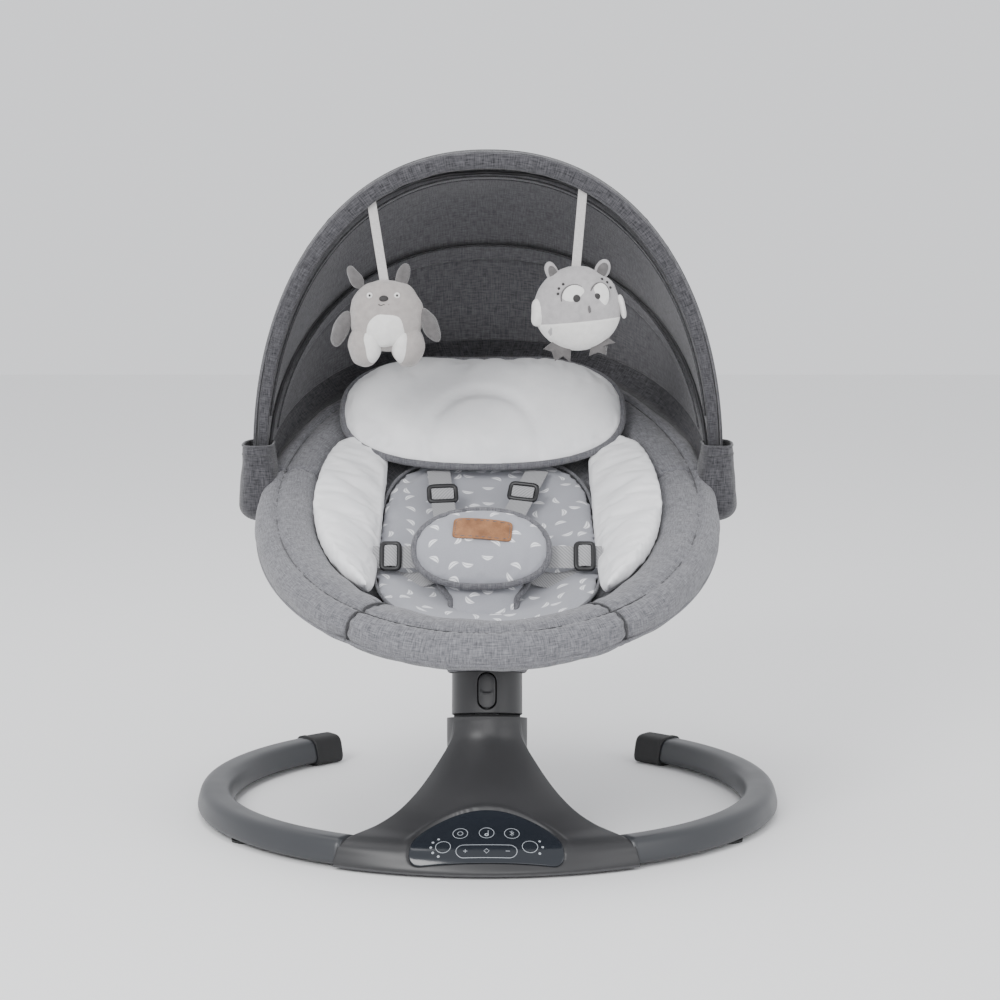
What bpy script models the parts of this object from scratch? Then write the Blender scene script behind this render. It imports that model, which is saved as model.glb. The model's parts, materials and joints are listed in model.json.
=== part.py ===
"""Electric baby swing in metres, with +Z up and its front towards -Y.

Shapes are laid out from the swing axis: "back" is a distance behind it. The empty swing_origin then moves
everything so that the origin is the centre of the whole swing's footprint, on the floor.
"""

from math import asin, cos, pi, radians, sin, sqrt

import bmesh
import bpy
import numpy as np
from mathutils import Matrix, Vector

# ---------------------------------------------------------------- driving dimensions
GAP = 0.0004  # clearance between pieces that touch
AXIS_BACK = -0.1807  # the swing axis, seen from the centre of the footprint

NECK_HEIGHT = 0.125  # where the swing axis leaves the base
NECK_TILT = radians(14)  # the axis leans back
COLLAR_R, COLLAR_TOP = 0.0355, 0.046

BASE_R, BASE_BACK = 0.308, 0.145  # the floor ring's outer radius and its centre
LEG_WIDE, LEG_TOP_WIDE, LEG_HIGH, LEG_LOW = 0.042, 0.028, 0.030, 0.003
LEG_START, LEG_END, CAP_START = radians(29), radians(143), radians(135)  # from the front

RING_TILT = radians(18)
RING_BACK, RING_HEIGHT, RING_SAG = 0.1825, 0.324, 0.018
RING_HALF_WIDE, RING_HALF_LONG = 0.245, 0.355  # outer edge of the padded ring
PAD_WIDE, PAD_HIGH = 0.064, 0.044
TUBE_R = 0.0075

HINGE_BACK, HINGE_HEIGHT = 0.25, 0.345
BOW_R, BOW_POWER = 0.00175, 2.3
# Each bow: angle back from upright, half width, height of its arch.
REAR_BOW = (radians(42), 0.2375, 0.311)
MID_BOW = (radians(10), 0.2428, 0.324)
FRONT_BOW = (radians(-5), 0.2481, 0.341)
CLOTH = 0.0010
CLOTH_OFF_BOW = 0.0031  # the middle of a bow to the cloth's inner face

# ---------------------------------------------------------------- frames of reference
NECK = Matrix.Translation((0, 0, NECK_HEIGHT)) @ Matrix.Rotation(-NECK_TILT, 4, "X")
SEAT = Matrix.Translation((0, RING_BACK, RING_HEIGHT)) @ Matrix.Rotation(RING_TILT, 4, "X")
AXIS_DIRECTION = NECK.to_3x3() @ Vector((0, 0, 1))

for old in list(bpy.data.objects):
    bpy.data.objects.remove(old)
PARTS = bpy.data.collections.new("baby_swing")
CUTTERS = bpy.data.collections.new("cutters")
for group in (PARTS, CUTTERS):
    bpy.context.scene.collection.children.link(group)
CUTTERS.hide_render = True


def empty(name, place, parent=None):
    """An empty on a joint's axis, which carries the pieces that turn or slide there."""
    found = bpy.data.objects.new(name, None)
    PARTS.objects.link(found)
    found.location = place
    found.parent = parent
    return found


ORIGIN = empty("swing_origin", (0, AXIS_BACK, 0))


def bow_point(bow, share, extra=0.0):
    """A point on a bow's arch: share runs from 0 at the left hinge over 0.5 at the top to 1 at the right."""
    angle, half_wide, high = bow
    turn = pi * (1 - share)
    x = (half_wide + extra) * np.sign(cos(turn)) * abs(cos(turn)) ** (2 / BOW_POWER)
    up = (high + extra) * sin(turn) ** (2 / BOW_POWER)
    return Vector((x, HINGE_BACK + up * sin(angle), HINGE_HEIGHT + up * cos(angle)))


BEAR_SHARE, OWL_SHARE = 0.345, 0.622
BEAR_TOP = bow_point(FRONT_BOW, BEAR_SHARE)
OWL_TOP = bow_point(FRONT_BOW, OWL_SHARE)
HINGE = Vector((0, HINGE_BACK, HINGE_HEIGHT))
BUTTON_PLACE = NECK @ Vector((0, -COLLAR_R, 0.0255))

BODY = {
    "base": empty("base_body", (0, 0, 0), ORIGIN),
    "seat": empty("seat_axis", (0, 0, NECK_HEIGHT), ORIGIN),
    "button": empty("button_slide", BUTTON_PLACE, ORIGIN),
    "mid_bow": empty("mid_bow_hinge", HINGE, ORIGIN),
    "front_bow": empty("front_bow_hinge", HINGE, ORIGIN),
    "bear": empty("bear_hinge", BEAR_TOP, ORIGIN),
    "owl": empty("owl_hinge", OWL_TOP, ORIGIN),
}


# ---------------------------------------------------------------- materials
def finish(name, colour, roughness, metallic=0.0):
    """A Principled material."""
    made = bpy.data.materials.new(name)
    made.use_nodes = True
    shader = made.node_tree.nodes["Principled BSDF"]
    shader.inputs["Base Color"].default_value = (*colour, 1)
    shader.inputs["Roughness"].default_value = roughness
    shader.inputs["Metallic"].default_value = metallic
    return made


HOUSING = finish("housing_plastic", (0.055, 0.055, 0.058), 0.45)
LEG = finish("leg_plastic", (0.075, 0.078, 0.083), 0.42)
RUBBER = finish("rubber", (0.02, 0.02, 0.021), 0.8)
PANEL = finish("panel_gloss", (0.013, 0.018, 0.025), 0.12)
BOARD = finish("circuit_board", (0.02, 0.12, 0.05), 0.5)
COPPER = finish("coil_copper", (0.55, 0.25, 0.12), 0.35, 1.0)
STEEL = finish("steel", (0.45, 0.45, 0.46), 0.35, 1.0)
FRAME = finish("frame_metal", (0.10, 0.10, 0.11), 0.4, 0.6)
NYLON = finish("hinge_plastic", (0.05, 0.05, 0.055), 0.5)
CANOPY = finish("canopy_fabric", (0.10, 0.10, 0.105), 0.95)
HEATHER = finish("heather_fabric", (0.24, 0.24, 0.26), 0.95)
WHITE = finish("liner_fabric", (0.80, 0.80, 0.80), 0.9)
PRINT = finish("print_fabric", (0.40, 0.40, 0.42), 0.9)
WEBBING = finish("webbing", (0.30, 0.30, 0.32), 0.85)
BUCKLE = finish("buckle_plastic", (0.03, 0.03, 0.032), 0.4)
TOY = finish("toy_plush", (0.52, 0.48, 0.45), 1.0)


# ---------------------------------------------------------------- helpers that make objects
def hold(obj, body, material, place=None):
    """Puts an object under the empty of its body, at the place given from the swing axis."""
    obj.data.materials.clear()
    obj.data.materials.append(material)
    obj.parent = BODY[body]
    obj.matrix_parent_inverse = Matrix.Translation(-BODY[body].location)
    obj.matrix_basis = Matrix.Identity(4) if place is None else place
    return obj


def from_bmesh(bm, name, body, material, place=None, cutter=False):
    """An object from a bmesh, with its faces turned outwards."""
    bmesh.ops.recalc_face_normals(bm, faces=bm.faces)
    if all(edge.is_manifold for edge in bm.edges) and bm.calc_volume(signed=True) < 0:
        bmesh.ops.reverse_faces(bm, faces=bm.faces)
    mesh = bpy.data.meshes.new(name)
    bm.to_mesh(mesh)
    bm.free()
    obj = bpy.data.objects.new(name, mesh)
    (CUTTERS if cutter else PARTS).objects.link(obj)
    if cutter:
        obj.hide_render = True
        obj.display_type = "WIRE"
    return hold(obj, body, material, place)


def boolean(obj, other, operation="DIFFERENCE"):
    """Cuts, joins or keeps what is shared with another object."""
    step = obj.modifiers.new(operation.lower(), "BOOLEAN")
    step.operation = operation
    step.object = other
    step.solver = "EXACT"


def cube(size):
    """A box of this size around the origin, as a bmesh."""
    bm = bmesh.new()
    bmesh.ops.create_cube(bm, size=1)
    bmesh.ops.scale(bm, vec=size, verts=bm.verts)
    return bm


def block(name, size, place, body, material, bevel=0.0, cutter=False):
    """A box with its edges eased."""
    obj = from_bmesh(cube(size), name, body, material, place, cutter)
    if bevel:
        ease = obj.modifiers.new("ease", "BEVEL")
        ease.width = bevel
        ease.segments = 1
    return obj


def disc(radius, length, place, name, body, material, sides=16, cutter=False):
    """A cylinder along the place's own Z, centred on it."""
    bm = bmesh.new()
    bmesh.ops.create_cone(
        bm, cap_ends=True, segments=sides, radius1=radius, radius2=radius, depth=length
    )
    return from_bmesh(bm, name, body, material, place, cutter)


def turned(name, profile, body, material, place=None, steps=24):
    """A turned piece: its profile (radius, height) runs down the outer side, and joins up unless it ends at
    the axis."""
    mesh = bpy.data.meshes.new(name)
    count = len(profile)
    points = [(r, 0, z) for r, z in profile]
    edges = [(i, i + 1) for i in range(count - 1)]
    if profile[0][0] > 0:
        edges.append((count - 1, 0))
    mesh.from_pydata(points, edges, [])
    obj = bpy.data.objects.new(name, mesh)
    PARTS.objects.link(obj)
    spin = obj.modifiers.new("turn", "SCREW")
    spin.steps = spin.render_steps = steps
    spin.use_merge_vertices = True
    spin.merge_threshold = 0.0001
    return hold(obj, body, material, place)


def ring_of(inner, outer, low, high):
    """The profile of a plain ring."""
    return [(outer, high), (outer, low), (inner, low), (inner, high)]


def tube(name, points, radius, body, material, sides=2):
    """A round tube along a line of points, as a mesh with its caps welded."""
    line = bpy.data.curves.new(name, "CURVE")
    line.dimensions = "3D"
    line.bevel_depth = radius
    line.bevel_resolution = sides
    line.use_fill_caps = True
    spline = line.splines.new("POLY")
    spline.points.add(len(points) - 1)
    for spot, point in zip(spline.points, points):
        spot.co = (*point, 1)
    guide = bpy.data.objects.new(name + "_line", line)
    PARTS.objects.link(guide)
    graph = bpy.context.evaluated_depsgraph_get()
    mesh = bpy.data.meshes.new_from_object(guide.evaluated_get(graph))
    bpy.data.objects.remove(guide)
    bm = bmesh.new()
    bm.from_mesh(mesh)
    bmesh.ops.remove_doubles(bm, verts=bm.verts, dist=0.00005)
    return from_bmesh(bm, name, body, material)


def loft(rows, closed_rows=True, caps=False):
    """A bmesh skin over rows of points; each row is one section."""
    bm = bmesh.new()
    grid = [[bm.verts.new(p) for p in row] for row in rows]
    wide = len(grid[0])
    for low, high in zip(grid, grid[1:]):
        for i in range(wide if closed_rows else wide - 1):
            j = (i + 1) % wide
            bm.faces.new((low[i], low[j], high[j], high[i]))
    if caps:
        bm.faces.new(grid[0])
        bm.faces.new(grid[-1])
    return bm


def shell(bm, name, thick, body, material, inwards=-1):
    """An open skin given a wall on the side that its faces turn away from."""
    obj = from_bmesh(bm, name, body, material)
    wall = obj.modifiers.new("wall", "SOLIDIFY")
    wall.thickness = thick
    wall.offset = inwards
    wall.use_even_offset = False
    return obj


def pad(name, shape, body, material, across=20, rings=10):
    """A stuffed piece: a sphere whose points (x, y, z) go where shape(x, y, z) says."""
    bm = bmesh.new()
    bmesh.ops.create_uvsphere(bm, u_segments=across, v_segments=rings, radius=1)
    for vert in bm.verts:
        vert.co = shape(*vert.co)
    return from_bmesh(bm, name, body, material)


def squarer(x, y, power=0.62):
    """Moves a point of the unit disc outwards to the outline of a rounded square."""
    reach = sqrt(x * x + y * y)
    if reach < 1e-6:
        return x, y
    c, s = x / reach, y / reach
    grown = reach / (abs(c) ** (2 / power) + abs(s) ** (2 / power)) ** (power / 2)
    return grown * c, grown * s


# ---------------------------------------------------------------- base
def arc_sweep(name, section, start, end, steps, side, body, material):
    """A section (radius, height) carried round the floor ring, from one angle to the other."""
    bm = bmesh.new()
    spots = []
    for r, z in section:
        x = side * r * sin(start)
        spots.append(bm.verts.new((x, BASE_BACK - r * cos(start), z)))
    bm.faces.new(spots)
    bmesh.ops.spin(
        bm,
        geom=bm.faces[:],
        cent=(0, BASE_BACK, 0),
        axis=(0, 0, 1),
        angle=side * (end - start),
        steps=steps,
    )
    return from_bmesh(bm, name, body, material)


def leg_section(grow=0.0, low=LEG_LOW):
    """The leg's outline: an upright outer wall, an eased flat top and a leaning inner wall."""
    outer = BASE_R + grow
    top = LEG_HIGH + grow
    inner_top = BASE_R - 0.005 - LEG_TOP_WIDE - grow
    inner_low = BASE_R - LEG_WIDE - grow
    return [
        (outer, low),
        (outer - 0.001, top - 0.006),
        (outer - 0.006, top),
        (inner_top + 0.005, top),
        (inner_top - 0.001, top - 0.005),
        (inner_low, low),
    ]


def make_legs():
    for side, word in ((-1, "left"), (1, "right")):
        seam = GAP / BASE_R
        start = LEG_START + seam
        arc_sweep(word + "_leg", leg_section(), start, CAP_START, 14, side, "base", LEG)
        cap = leg_section(0.0012, 0.0)
        arc_sweep(
            word + "_leg_end_cap", cap, CAP_START + 2 * seam, LEG_END, 2, side, "base", RUBBER
        )
        spot = BASE_R - LEG_WIDE / 2
        turn = radians(58)
        foot = Matrix.Translation(
            (side * spot * sin(turn), BASE_BACK - spot * cos(turn), (LEG_LOW - GAP) / 2)
        )
        disc(0.015, LEG_LOW - GAP, foot, f"front_{word}_foot", "base", RUBBER)


COVER_THICK = 0.0024


def floor_outline(count=32):
    """The housing's plan at the floor, as (x, back): the ring's front arc, then a waist back to the neck."""
    points = []
    arc = count // 2
    for i in range(arc + 1):
        turn = -LEG_START + 2 * LEG_START * i / arc
        points.append((BASE_R * sin(turn), BASE_BACK - BASE_R * cos(turn)))
    rest = count - arc - 1
    for i in range(1, rest + 1):
        share = i / (rest + 1)
        turn = pi * share
        x = 0.043 * cos(turn) + 0.086 * cos(turn) ** 3
        points.append((x, -0.088 * abs(cos(turn)) ** 1.5 + 0.058 * (1 - abs(cos(turn)) ** 1.5)))
    return points


def housing_rows(inset=0.0):
    """Sections of the housing from the rim at the neck down to the floor, drawn in by inset."""
    plan = floor_outline()
    rim_r = 0.0405
    # height, share of the way out to the plan at the sides, and at the front
    levels = [
        (0.1245, 0.0, 0.0),
        (0.106, 0.02, 0.05),
        (0.087, 0.10, 0.20),
        (0.066, 0.20, 0.42),
        (0.047, 0.38, 0.60),
        (0.036, 0.60, 0.75),
        (0.0305, 0.86, 0.84),
        (0.024, 1.0, 0.90),
        (LEG_LOW + COVER_THICK + 0.0020, 1.0, 1.0),
    ]
    rows = []
    for height, side_share, front_share in levels:
        row = []
        lean = NECK_TILT * max(0.0, (height - 0.06) / (0.1245 - 0.06)) ** 1.5
        for x, back in plan:
            turn = np.arctan2(x, -back)
            facing_front = max(0.0, cos(turn)) ** 2
            share = side_share + (front_share - side_share) * facing_front
            r = rim_r - inset
            rim = Vector((r * sin(turn), -r * cos(turn), 0))
            out = Vector((x, back, 0))
            out -= out.normalized() * inset
            spot = rim.lerp(out, share)
            row.append((spot.x, spot.y, height - spot.y * sin(lean)))
        rows.append(row)
    return rows


PANEL_HALF, PANEL_LONG = 0.076, 0.068
PANEL_PLACE = Matrix.Translation((0, -0.1315, 0.0365)) @ Matrix.Rotation(radians(38), 4, "X")


def panel_outline(inset=0.0, arc=14):
    """A half moon with a straight lower edge and rounded lower corners."""
    half, high = PANEL_HALF - inset, PANEL_LONG / 2 - inset
    low = -PANEL_LONG / 2 + inset
    points = [(-half + 0.012, low), (half - 0.012, low), (half - 0.003, low + 0.005)]
    for i in range(arc + 1):
        turn = pi * i / arc
        points.append((half * cos(turn), low + 0.014 + (high - low - 0.014) * sin(turn)))
    points.append((-half + 0.003, low + 0.005))
    return points


def prism(outline, low, high, name, body, material, place, cutter=False):
    """A flat outline given a height along the place's own Z."""
    bm = bmesh.new()
    face = bm.faces.new([bm.verts.new((x, y, low)) for x, y in outline])
    lifted = bmesh.ops.extrude_face_region(bm, geom=[face])["geom"]
    spots = [g for g in lifted if isinstance(g, bmesh.types.BMVert)]
    bmesh.ops.translate(bm, verts=spots, vec=(0, 0, high - low))
    return from_bmesh(bm, name, body, material, place, cutter)


def make_housing():
    wall = 0.003
    housing = shell(loft(housing_rows()), "base_housing", wall, "base", HOUSING)
    window = prism(
        panel_outline(), -0.05, 0.05, "panel_window", "base", HOUSING, PANEL_PLACE, cutter=True
    )
    boolean(housing, window)
    panel = shell(loft(housing_rows(0.0006)), "control_panel", 0.0022, "base", PANEL)
    shape = prism(
        panel_outline(GAP * 2), -0.05, 0.05, "panel_shape", "base", PANEL, PANEL_PLACE, cutter=True
    )
    boolean(panel, shape, "INTERSECT")
    low, high = LEG_LOW, LEG_LOW + COVER_THICK
    prism(floor_outline(), low, high, "base_bottom_cover", "base", HOUSING, None)
    socket = Matrix.Translation((0, 0.052, 0.016))
    block("power_socket", (0.012, 0.014, 0.010), socket, "base", NYLON, 0.001)
    hole = block("socket_hole", (0.0128, 0.06, 0.0108), socket, "base", NYLON, 0, True)
    boolean(housing, hole)


def make_base_inside():
    """What the housing holds: bearings for the swing shaft, the drive coil, the board and the speaker."""
    turned(
        "bearing_carrier",
        [
            (0.0335, -0.0035),
            (0.0335, -0.0065),
            (0.0235, -0.0065),
            (0.0235, -0.0470),
            (0.0205, -0.0470),
            (0.0205, -0.0035),
        ],
        "base",
        NYLON,
        NECK,
    )
    for word, low in (("upper", -0.0140), ("lower", -0.0450)):
        name = word + "_bearing"
        turned(name, ring_of(0.0124, 0.0201, low, low + 0.008), "base", STEEL, NECK)
    turned("drive_coil", ring_of(0.010, 0.026, -0.074, -0.064), "base", COPPER, NECK)
    place = PANEL_PLACE @ Matrix.Translation((0, 0.002, -0.0125))
    block("control_board", (0.084, 0.034, 0.0016), place, "base", BOARD)
    place = Matrix.Translation((0, -0.055, 0.0150))
    disc(0.020, 0.012, place, "speaker", "base", RUBBER)


# ---------------------------------------------------------------- neck and swing shaft
def make_neck():
    disc(0.012, 0.104, NECK @ Matrix.Translation((0, 0, -0.006)), "swing_shaft", "seat", STEEL, 20)
    arm = NECK @ Matrix.Translation((0, 0, -0.0608))
    block("drive_arm", (0.074, 0.018, 0.005), arm, "seat", STEEL, 0.001)
    collar = turned(
        "neck_collar",
        ring_of(COLLAR_R - 0.004, COLLAR_R, 0.003, COLLAR_TOP),
        "seat",
        HOUSING,
        NECK,
        32,
    )
    front = NECK @ Matrix.Translation((0, -COLLAR_R, 0.0255)) @ Matrix.Rotation(pi / 2, 4, "X")
    window = prism(oblong(0.0092, 0.0180), -0.01, 0.012, "button_window", "seat", HOUSING, front, True)
    boolean(collar, window)
    prism(oblong(0.0086, 0.0174), -0.007, 0.0018, "release_button", "button", HOUSING, front)
    hub = NECK @ Matrix.Translation((0, 0, COLLAR_TOP + GAP + 0.006))
    disc(0.030, 0.012, hub, "seat_hub", "seat", FRAME, 20)


def oblong(half_wide, half_high, arc=6):
    """The outline of a slot that stands upright."""
    straight = half_high - half_wide
    points = []
    for side, first in ((1, 0.0), (-1, pi)):
        for i in range(arc + 1):
            turn = first + pi * i / arc
            points.append((half_wide * cos(turn), side * straight + half_wide * sin(turn)))
    return points


# ---------------------------------------------------------------- seat ring and its frame
def ring_point(u, v, w):
    """From the seat ring's own frame (across, along, off its plane) to the model."""
    sag = RING_SAG * (1 - (v / RING_HALF_LONG) ** 2)
    return SEAT @ Vector((u, v, w - sag))


def on_ring(turn, out=0.0, up=0.0):
    """A point of the padded ring: turn is 0 at the right and 90 degrees at the head."""
    a, b = RING_HALF_WIDE - PAD_WIDE / 2, RING_HALF_LONG - PAD_WIDE / 2
    normal = Vector((b * cos(turn), a * sin(turn))).normalized()
    return ring_point(a * cos(turn) + out * normal.x, b * sin(turn) + out * normal.y, up)


def turn_at(back):
    """The ring's angle, on the right side, at this distance behind the swing axis."""
    return asin((back - RING_BACK) / cos(RING_TILT) / (RING_HALF_LONG - PAD_WIDE / 2))


HINGE_TURN = turn_at(HINGE_BACK)


def pad_section():
    """The ring pad's outline: rounded outside, with a channel for the tube that is open below."""
    half, high, slot = PAD_WIDE / 2, PAD_HIGH / 2, 0.0095
    right = [
        (slot, -high),
        (half * 0.75, -high * 0.82),
        (half, -high * 0.1),
        (half * 0.84, high * 0.62),
        (half * 0.42, high * 0.96),
    ]
    left = [(-x, z) for x, z in reversed(right)]
    channel = [(-slot, 0.004), (-0.005, slot + 0.0006), (0.005, slot + 0.0006), (slot, 0.004)]
    return right + left + channel


def make_ring():
    gap_turn = 0.0138 / (RING_HALF_LONG - PAD_WIDE / 2)
    seam = 0.0015 / RING_HALF_WIDE
    corner = radians(-57)
    spans = {
        "ring_pad_head": (HINGE_TURN + gap_turn, pi - HINGE_TURN - gap_turn, 16),
        "ring_pad_left": (pi - HINGE_TURN + gap_turn, pi - corner - seam, 8),
        "ring_pad_foot": (pi - corner + seam, 2 * pi + corner - seam, 8),
        "ring_pad_right": (2 * pi + corner + seam, 2 * pi + HINGE_TURN - gap_turn, 8),
    }
    section = pad_section()
    for name, (start, end, steps) in spans.items():
        rows = [[on_ring(t, x, z) for x, z in section] for t in np.linspace(start, end, steps + 1)]
        from_bmesh(loft(rows, True, caps=True), name, "seat", HEATHER)
    end_turn = 0.0095 / (RING_HALF_LONG - PAD_WIDE / 2)
    head = np.linspace(HINGE_TURN + end_turn, pi - HINGE_TURN - end_turn, 17)
    foot = np.linspace(pi - HINGE_TURN + end_turn, 2 * pi + HINGE_TURN - end_turn, 17)
    tube("head_ring_tube", [on_ring(t) for t in head], TUBE_R, "seat", FRAME)
    tube("foot_ring_tube", [on_ring(t) for t in foot], TUBE_R, "seat", FRAME)


BRACKET_HIGH = 0.016


def make_hinges():
    """The brackets that join the ring's two tubes, the arms up from the hub, and the canopy's pins."""
    for side, word in ((-1, "left"), (1, "right")):
        centre = on_ring(HINGE_TURN)
        centre.x *= side
        tilt = Matrix.Rotation(RING_TILT, 4, "X")
        inner, outer = abs(centre.x) - 0.010, 0.2345
        middle = Vector((side * (inner + outer) / 2, centre.y, centre.z))
        size = (outer - inner, 0.0135, BRACKET_HIGH)
        bracket = block(
            word + "_hinge_bracket", size, Matrix.Translation(middle) @ tilt, "seat", NYLON
        )
        ear_place = Vector((side * (outer - 0.0025), HINGE_BACK, HINGE_HEIGHT))
        across = Matrix.Rotation(pi / 2, 4, "Y")
        ear = disc(
            0.0095, 0.005, Matrix.Translation(ear_place) @ across, word + "_ear", "seat", NYLON,
            cutter=True,
        )
        boolean(bracket, ear, "UNION")
        hole = disc(
            0.0029, 0.03, Matrix.Translation(ear_place) @ across, word + "_pin_hole", "seat", NYLON,
            12, True,
        )
        boolean(bracket, hole)
        pin_in, pin_out = 0.2285, 0.2535
        turn_side = Matrix.Rotation(side * pi / 2, 4, "Y")
        place = Matrix.Translation((0, HINGE_BACK, HINGE_HEIGHT)) @ turn_side
        pin = [(0.0, pin_out), (0.0048, pin_out), (0.0048, pin_out - 0.0022)]
        pin += [(0.0024, pin_out - 0.0022), (0.0024, pin_in), (0.0, pin_in)]
        turned(word + "_pivot_pin", pin, "seat", STEEL, place, 12)
        foot = centre - (SEAT.to_3x3() @ Vector((0, 0, BRACKET_HIGH / 2 + 0.0006)))
        below = foot - (SEAT.to_3x3() @ Vector((0, 0, 0.014)))
        hub = NECK @ Vector((0, 0, COLLAR_TOP + GAP + 0.0085))
        start = Vector((side * 0.0318, hub.y, hub.z))
        guides = [
            start,
            start + Vector((side * 0.010, 0.002, 0.003)),
            Vector((side * 0.074, 0.048, 0.197)),
            Vector((side * 0.125, 0.110, 0.221)),
            Vector((side * 0.167, 0.182, 0.267)),
            below + Vector((-side * 0.002, -0.008, -0.010)),
            below,
            foot,
        ]
        tube(word + "_support_arm", guides, 0.0062, "seat", FRAME)


def sling_depth(u, v):
    """How far the sling hangs below the ring's plane: deep under the hips, shallow at the head."""
    a, b = SLING_HALF_WIDE, SLING_HALF_LONG
    reach = min(1.0, sqrt((u / a) ** 2 + (v / b) ** 2))
    return max(0.0, 0.0405 - 0.155 * v + 0.6 * v * v) * (1 - reach**2.5)


SLING_HALF_WIDE, SLING_HALF_LONG = 0.178, 0.288


def sling_point(u, v, above=0.0):
    """A point above the sling, in the model."""
    return ring_point(u, v, above - sling_depth(u, v))


def make_soft_shells():
    count = 32
    turns = [2 * pi * i / count for i in range(count)]
    rows = []
    for reach in (1.0, 0.9, 0.78, 0.64, 0.48, 0.30, 0.12):
        rows.append(
            [
                sling_point(reach * SLING_HALF_WIDE * cos(t), reach * SLING_HALF_LONG * sin(t))
                for t in turns
            ]
        )
    bm = loft(rows)
    bm.verts.ensure_lookup_table()
    bm.faces.new(bm.verts[-count:])
    sling = shell(bm, "seat_sling", 0.002, "seat", WHITE)
    sling.modifiers["wall"].offset = -1
    neck_r, neck_up = 0.0385, COLLAR_TOP + 0.0008
    rows = []
    for share in (0.0, 0.15, 0.32, 0.5, 0.68, 0.84, 1.0):
        row = []
        for t in turns:
            top = on_ring(t, PAD_WIDE * 0.42, -PAD_HIGH / 2 - 0.0035)
            low = NECK @ Vector((neck_r * cos(t), neck_r * sin(t), neck_up))
            spot = top.lerp(low, share)
            spot.z -= 0.016 * sin(pi * share)
            out = Vector((cos(t), sin(t), 0)) * 0.012 * sin(pi * share)
            row.append(spot + out)
        rows.append(row)
    shell(loft(rows), "seat_hull", 0.002, "seat", HEATHER)


# ---------------------------------------------------------------- liner, pillow and harness
LINER_ABOVE = 0.0030


def bolster_shape(side):
    """A long crescent between the centre panel and the ring, thicker towards its middle."""

    def shape(x, y, z):
        v = -0.055 + 0.150 * y
        wide = sqrt(max(1e-9, 1 - y * y))
        across = max(-1.0, min(1.0, x / wide)) if wide > 1e-4 else 0.0
        outer = 0.166 * sqrt(1 - (v / SLING_HALF_LONG) ** 2)
        middle = (0.1215 + outer) / 2
        half = (outer - 0.1215) / 2 * min(1.0, wide * 1.6)
        u = middle + half * across
        return sling_point(side * u, v, LINER_ABOVE + 0.013 * (z + 1))

    return shape


def panel_shape(x, y, z):
    x, y = squarer(x, y)
    return sling_point(0.108 * x, -0.045 + 0.170 * y, LINER_ABOVE + 0.0065 * (z + 1))


PILLOW_TILT = radians(31.8)
PILLOW = Matrix.Translation((0, 0.350, 0.3985)) @ Matrix.Rotation(PILLOW_TILT, 4, "X")
BELLY_TILT = radians(50)
BELLY = Matrix.Translation((-0.006, 0.085, 0.285)) @ Matrix.Rotation(BELLY_TILT, 4, "X")
CROTCH = Matrix.Translation((-0.004, 0.0665, 0.2375)) @ Matrix.Rotation(radians(49), 4, "X")


def pillow_shape(x, y, z):
    x, y = squarer(x, y, 0.8)
    dip = 0.010 * max(0.0, 1 - (x / 0.45) ** 2) * max(0.0, y)
    return PILLOW @ Vector((0.157 * x, 0.086 * y - dip, 0.021 * z))


def belly_shape(x, y, z):
    x, y = squarer(x, y, 0.9)
    return BELLY @ Vector((0.0695 * x, 0.046 * y, 0.011 * z))


def crotch_shape(x, y, z):
    x, y = squarer(x, y, 0.8)
    return CROTCH @ Vector(((0.042 + 0.014 * y) * x, 0.021 * y, 0.0055 * z))


def strap_frame(start, end, face):
    """A frame whose Y runs along a strap and whose Z is its face, with its origin halfway."""
    along = (end - start).normalized()
    across = along.cross(face).normalized()
    up = across.cross(along)
    spin = Matrix((across, along, up)).transposed().to_4x4()
    return Matrix.Translation((start + end) / 2) @ spin


WEB_WIDE, WEB_THICK = 0.025, 0.0016
SHOULDER_FACE = Vector((0, -0.34, 0.94))
WAIST_FACE = Vector((0, -sin(radians(58)), cos(radians(58))))
STRAPS = {  # start, end, face, and where the adjuster sits along the strap from its middle
    "left_shoulder": (Vector((-0.0400, 0.122, 0.2845)), Vector((-0.0540, 0.283, 0.3405)),
                      SHOULDER_FACE, 0.018),
    "right_shoulder": (Vector((0.0130, 0.128, 0.2865)), Vector((0.0535, 0.283, 0.3405)),
                       SHOULDER_FACE, 0.020),
    "left_waist": (Vector((-0.0375, 0.0995, 0.2735)), Vector((-0.1185, 0.0995, 0.2735)),
                   WAIST_FACE, 0.022),
    "right_waist": (Vector((0.0265, 0.0995, 0.2735)), Vector((0.1185, 0.0995, 0.2735)),
                    WAIST_FACE, 0.028),
}


def make_harness():
    for name, (start, end, face, along) in STRAPS.items():
        place = strap_frame(start, end, face)
        long = (end - start).length
        block(name + "_strap", (WEB_WIDE, long, WEB_THICK), place, "seat", WEBBING)
        spot = place @ Matrix.Translation((0, along, 0))
        BODY[name] = empty(name + "_slide", spot.translation, ORIGIN)
        adjuster = block(name + "_adjuster", (0.033, 0.020, 0.0060), spot, name, BUCKLE)
        channel = block("cut", (WEB_WIDE + 0.0016, 0.04, 0.0032), spot, name, BUCKLE, 0, True)
        window = spot @ Matrix.Translation((0, 0, 0.004))
        opening = block("cut", (WEB_WIDE, 0.0115, 0.010), window, name, BUCKLE, 0, True)
        boolean(adjuster, channel)
        boolean(adjuster, opening)
    pad("belly_pad", belly_shape, "seat", PRINT)
    pad("crotch_pad", crotch_shape, "seat", PRINT, 16, 8)
    behind = BELLY @ Matrix.Translation((0, 0, -0.0190))
    block("harness_buckle", (0.058, 0.034, 0.012), behind, "seat", BUCKLE, 0.002)


def make_liner():
    for side, word in ((-1, "left"), (1, "right")):
        pad(word + "_bolster", bolster_shape(side), "seat", WHITE, 16, 10)
    pad("centre_panel", panel_shape, "seat", PRINT, 20, 8)
    pad("head_pillow", pillow_shape, "seat", WHITE, 24, 10)


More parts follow.
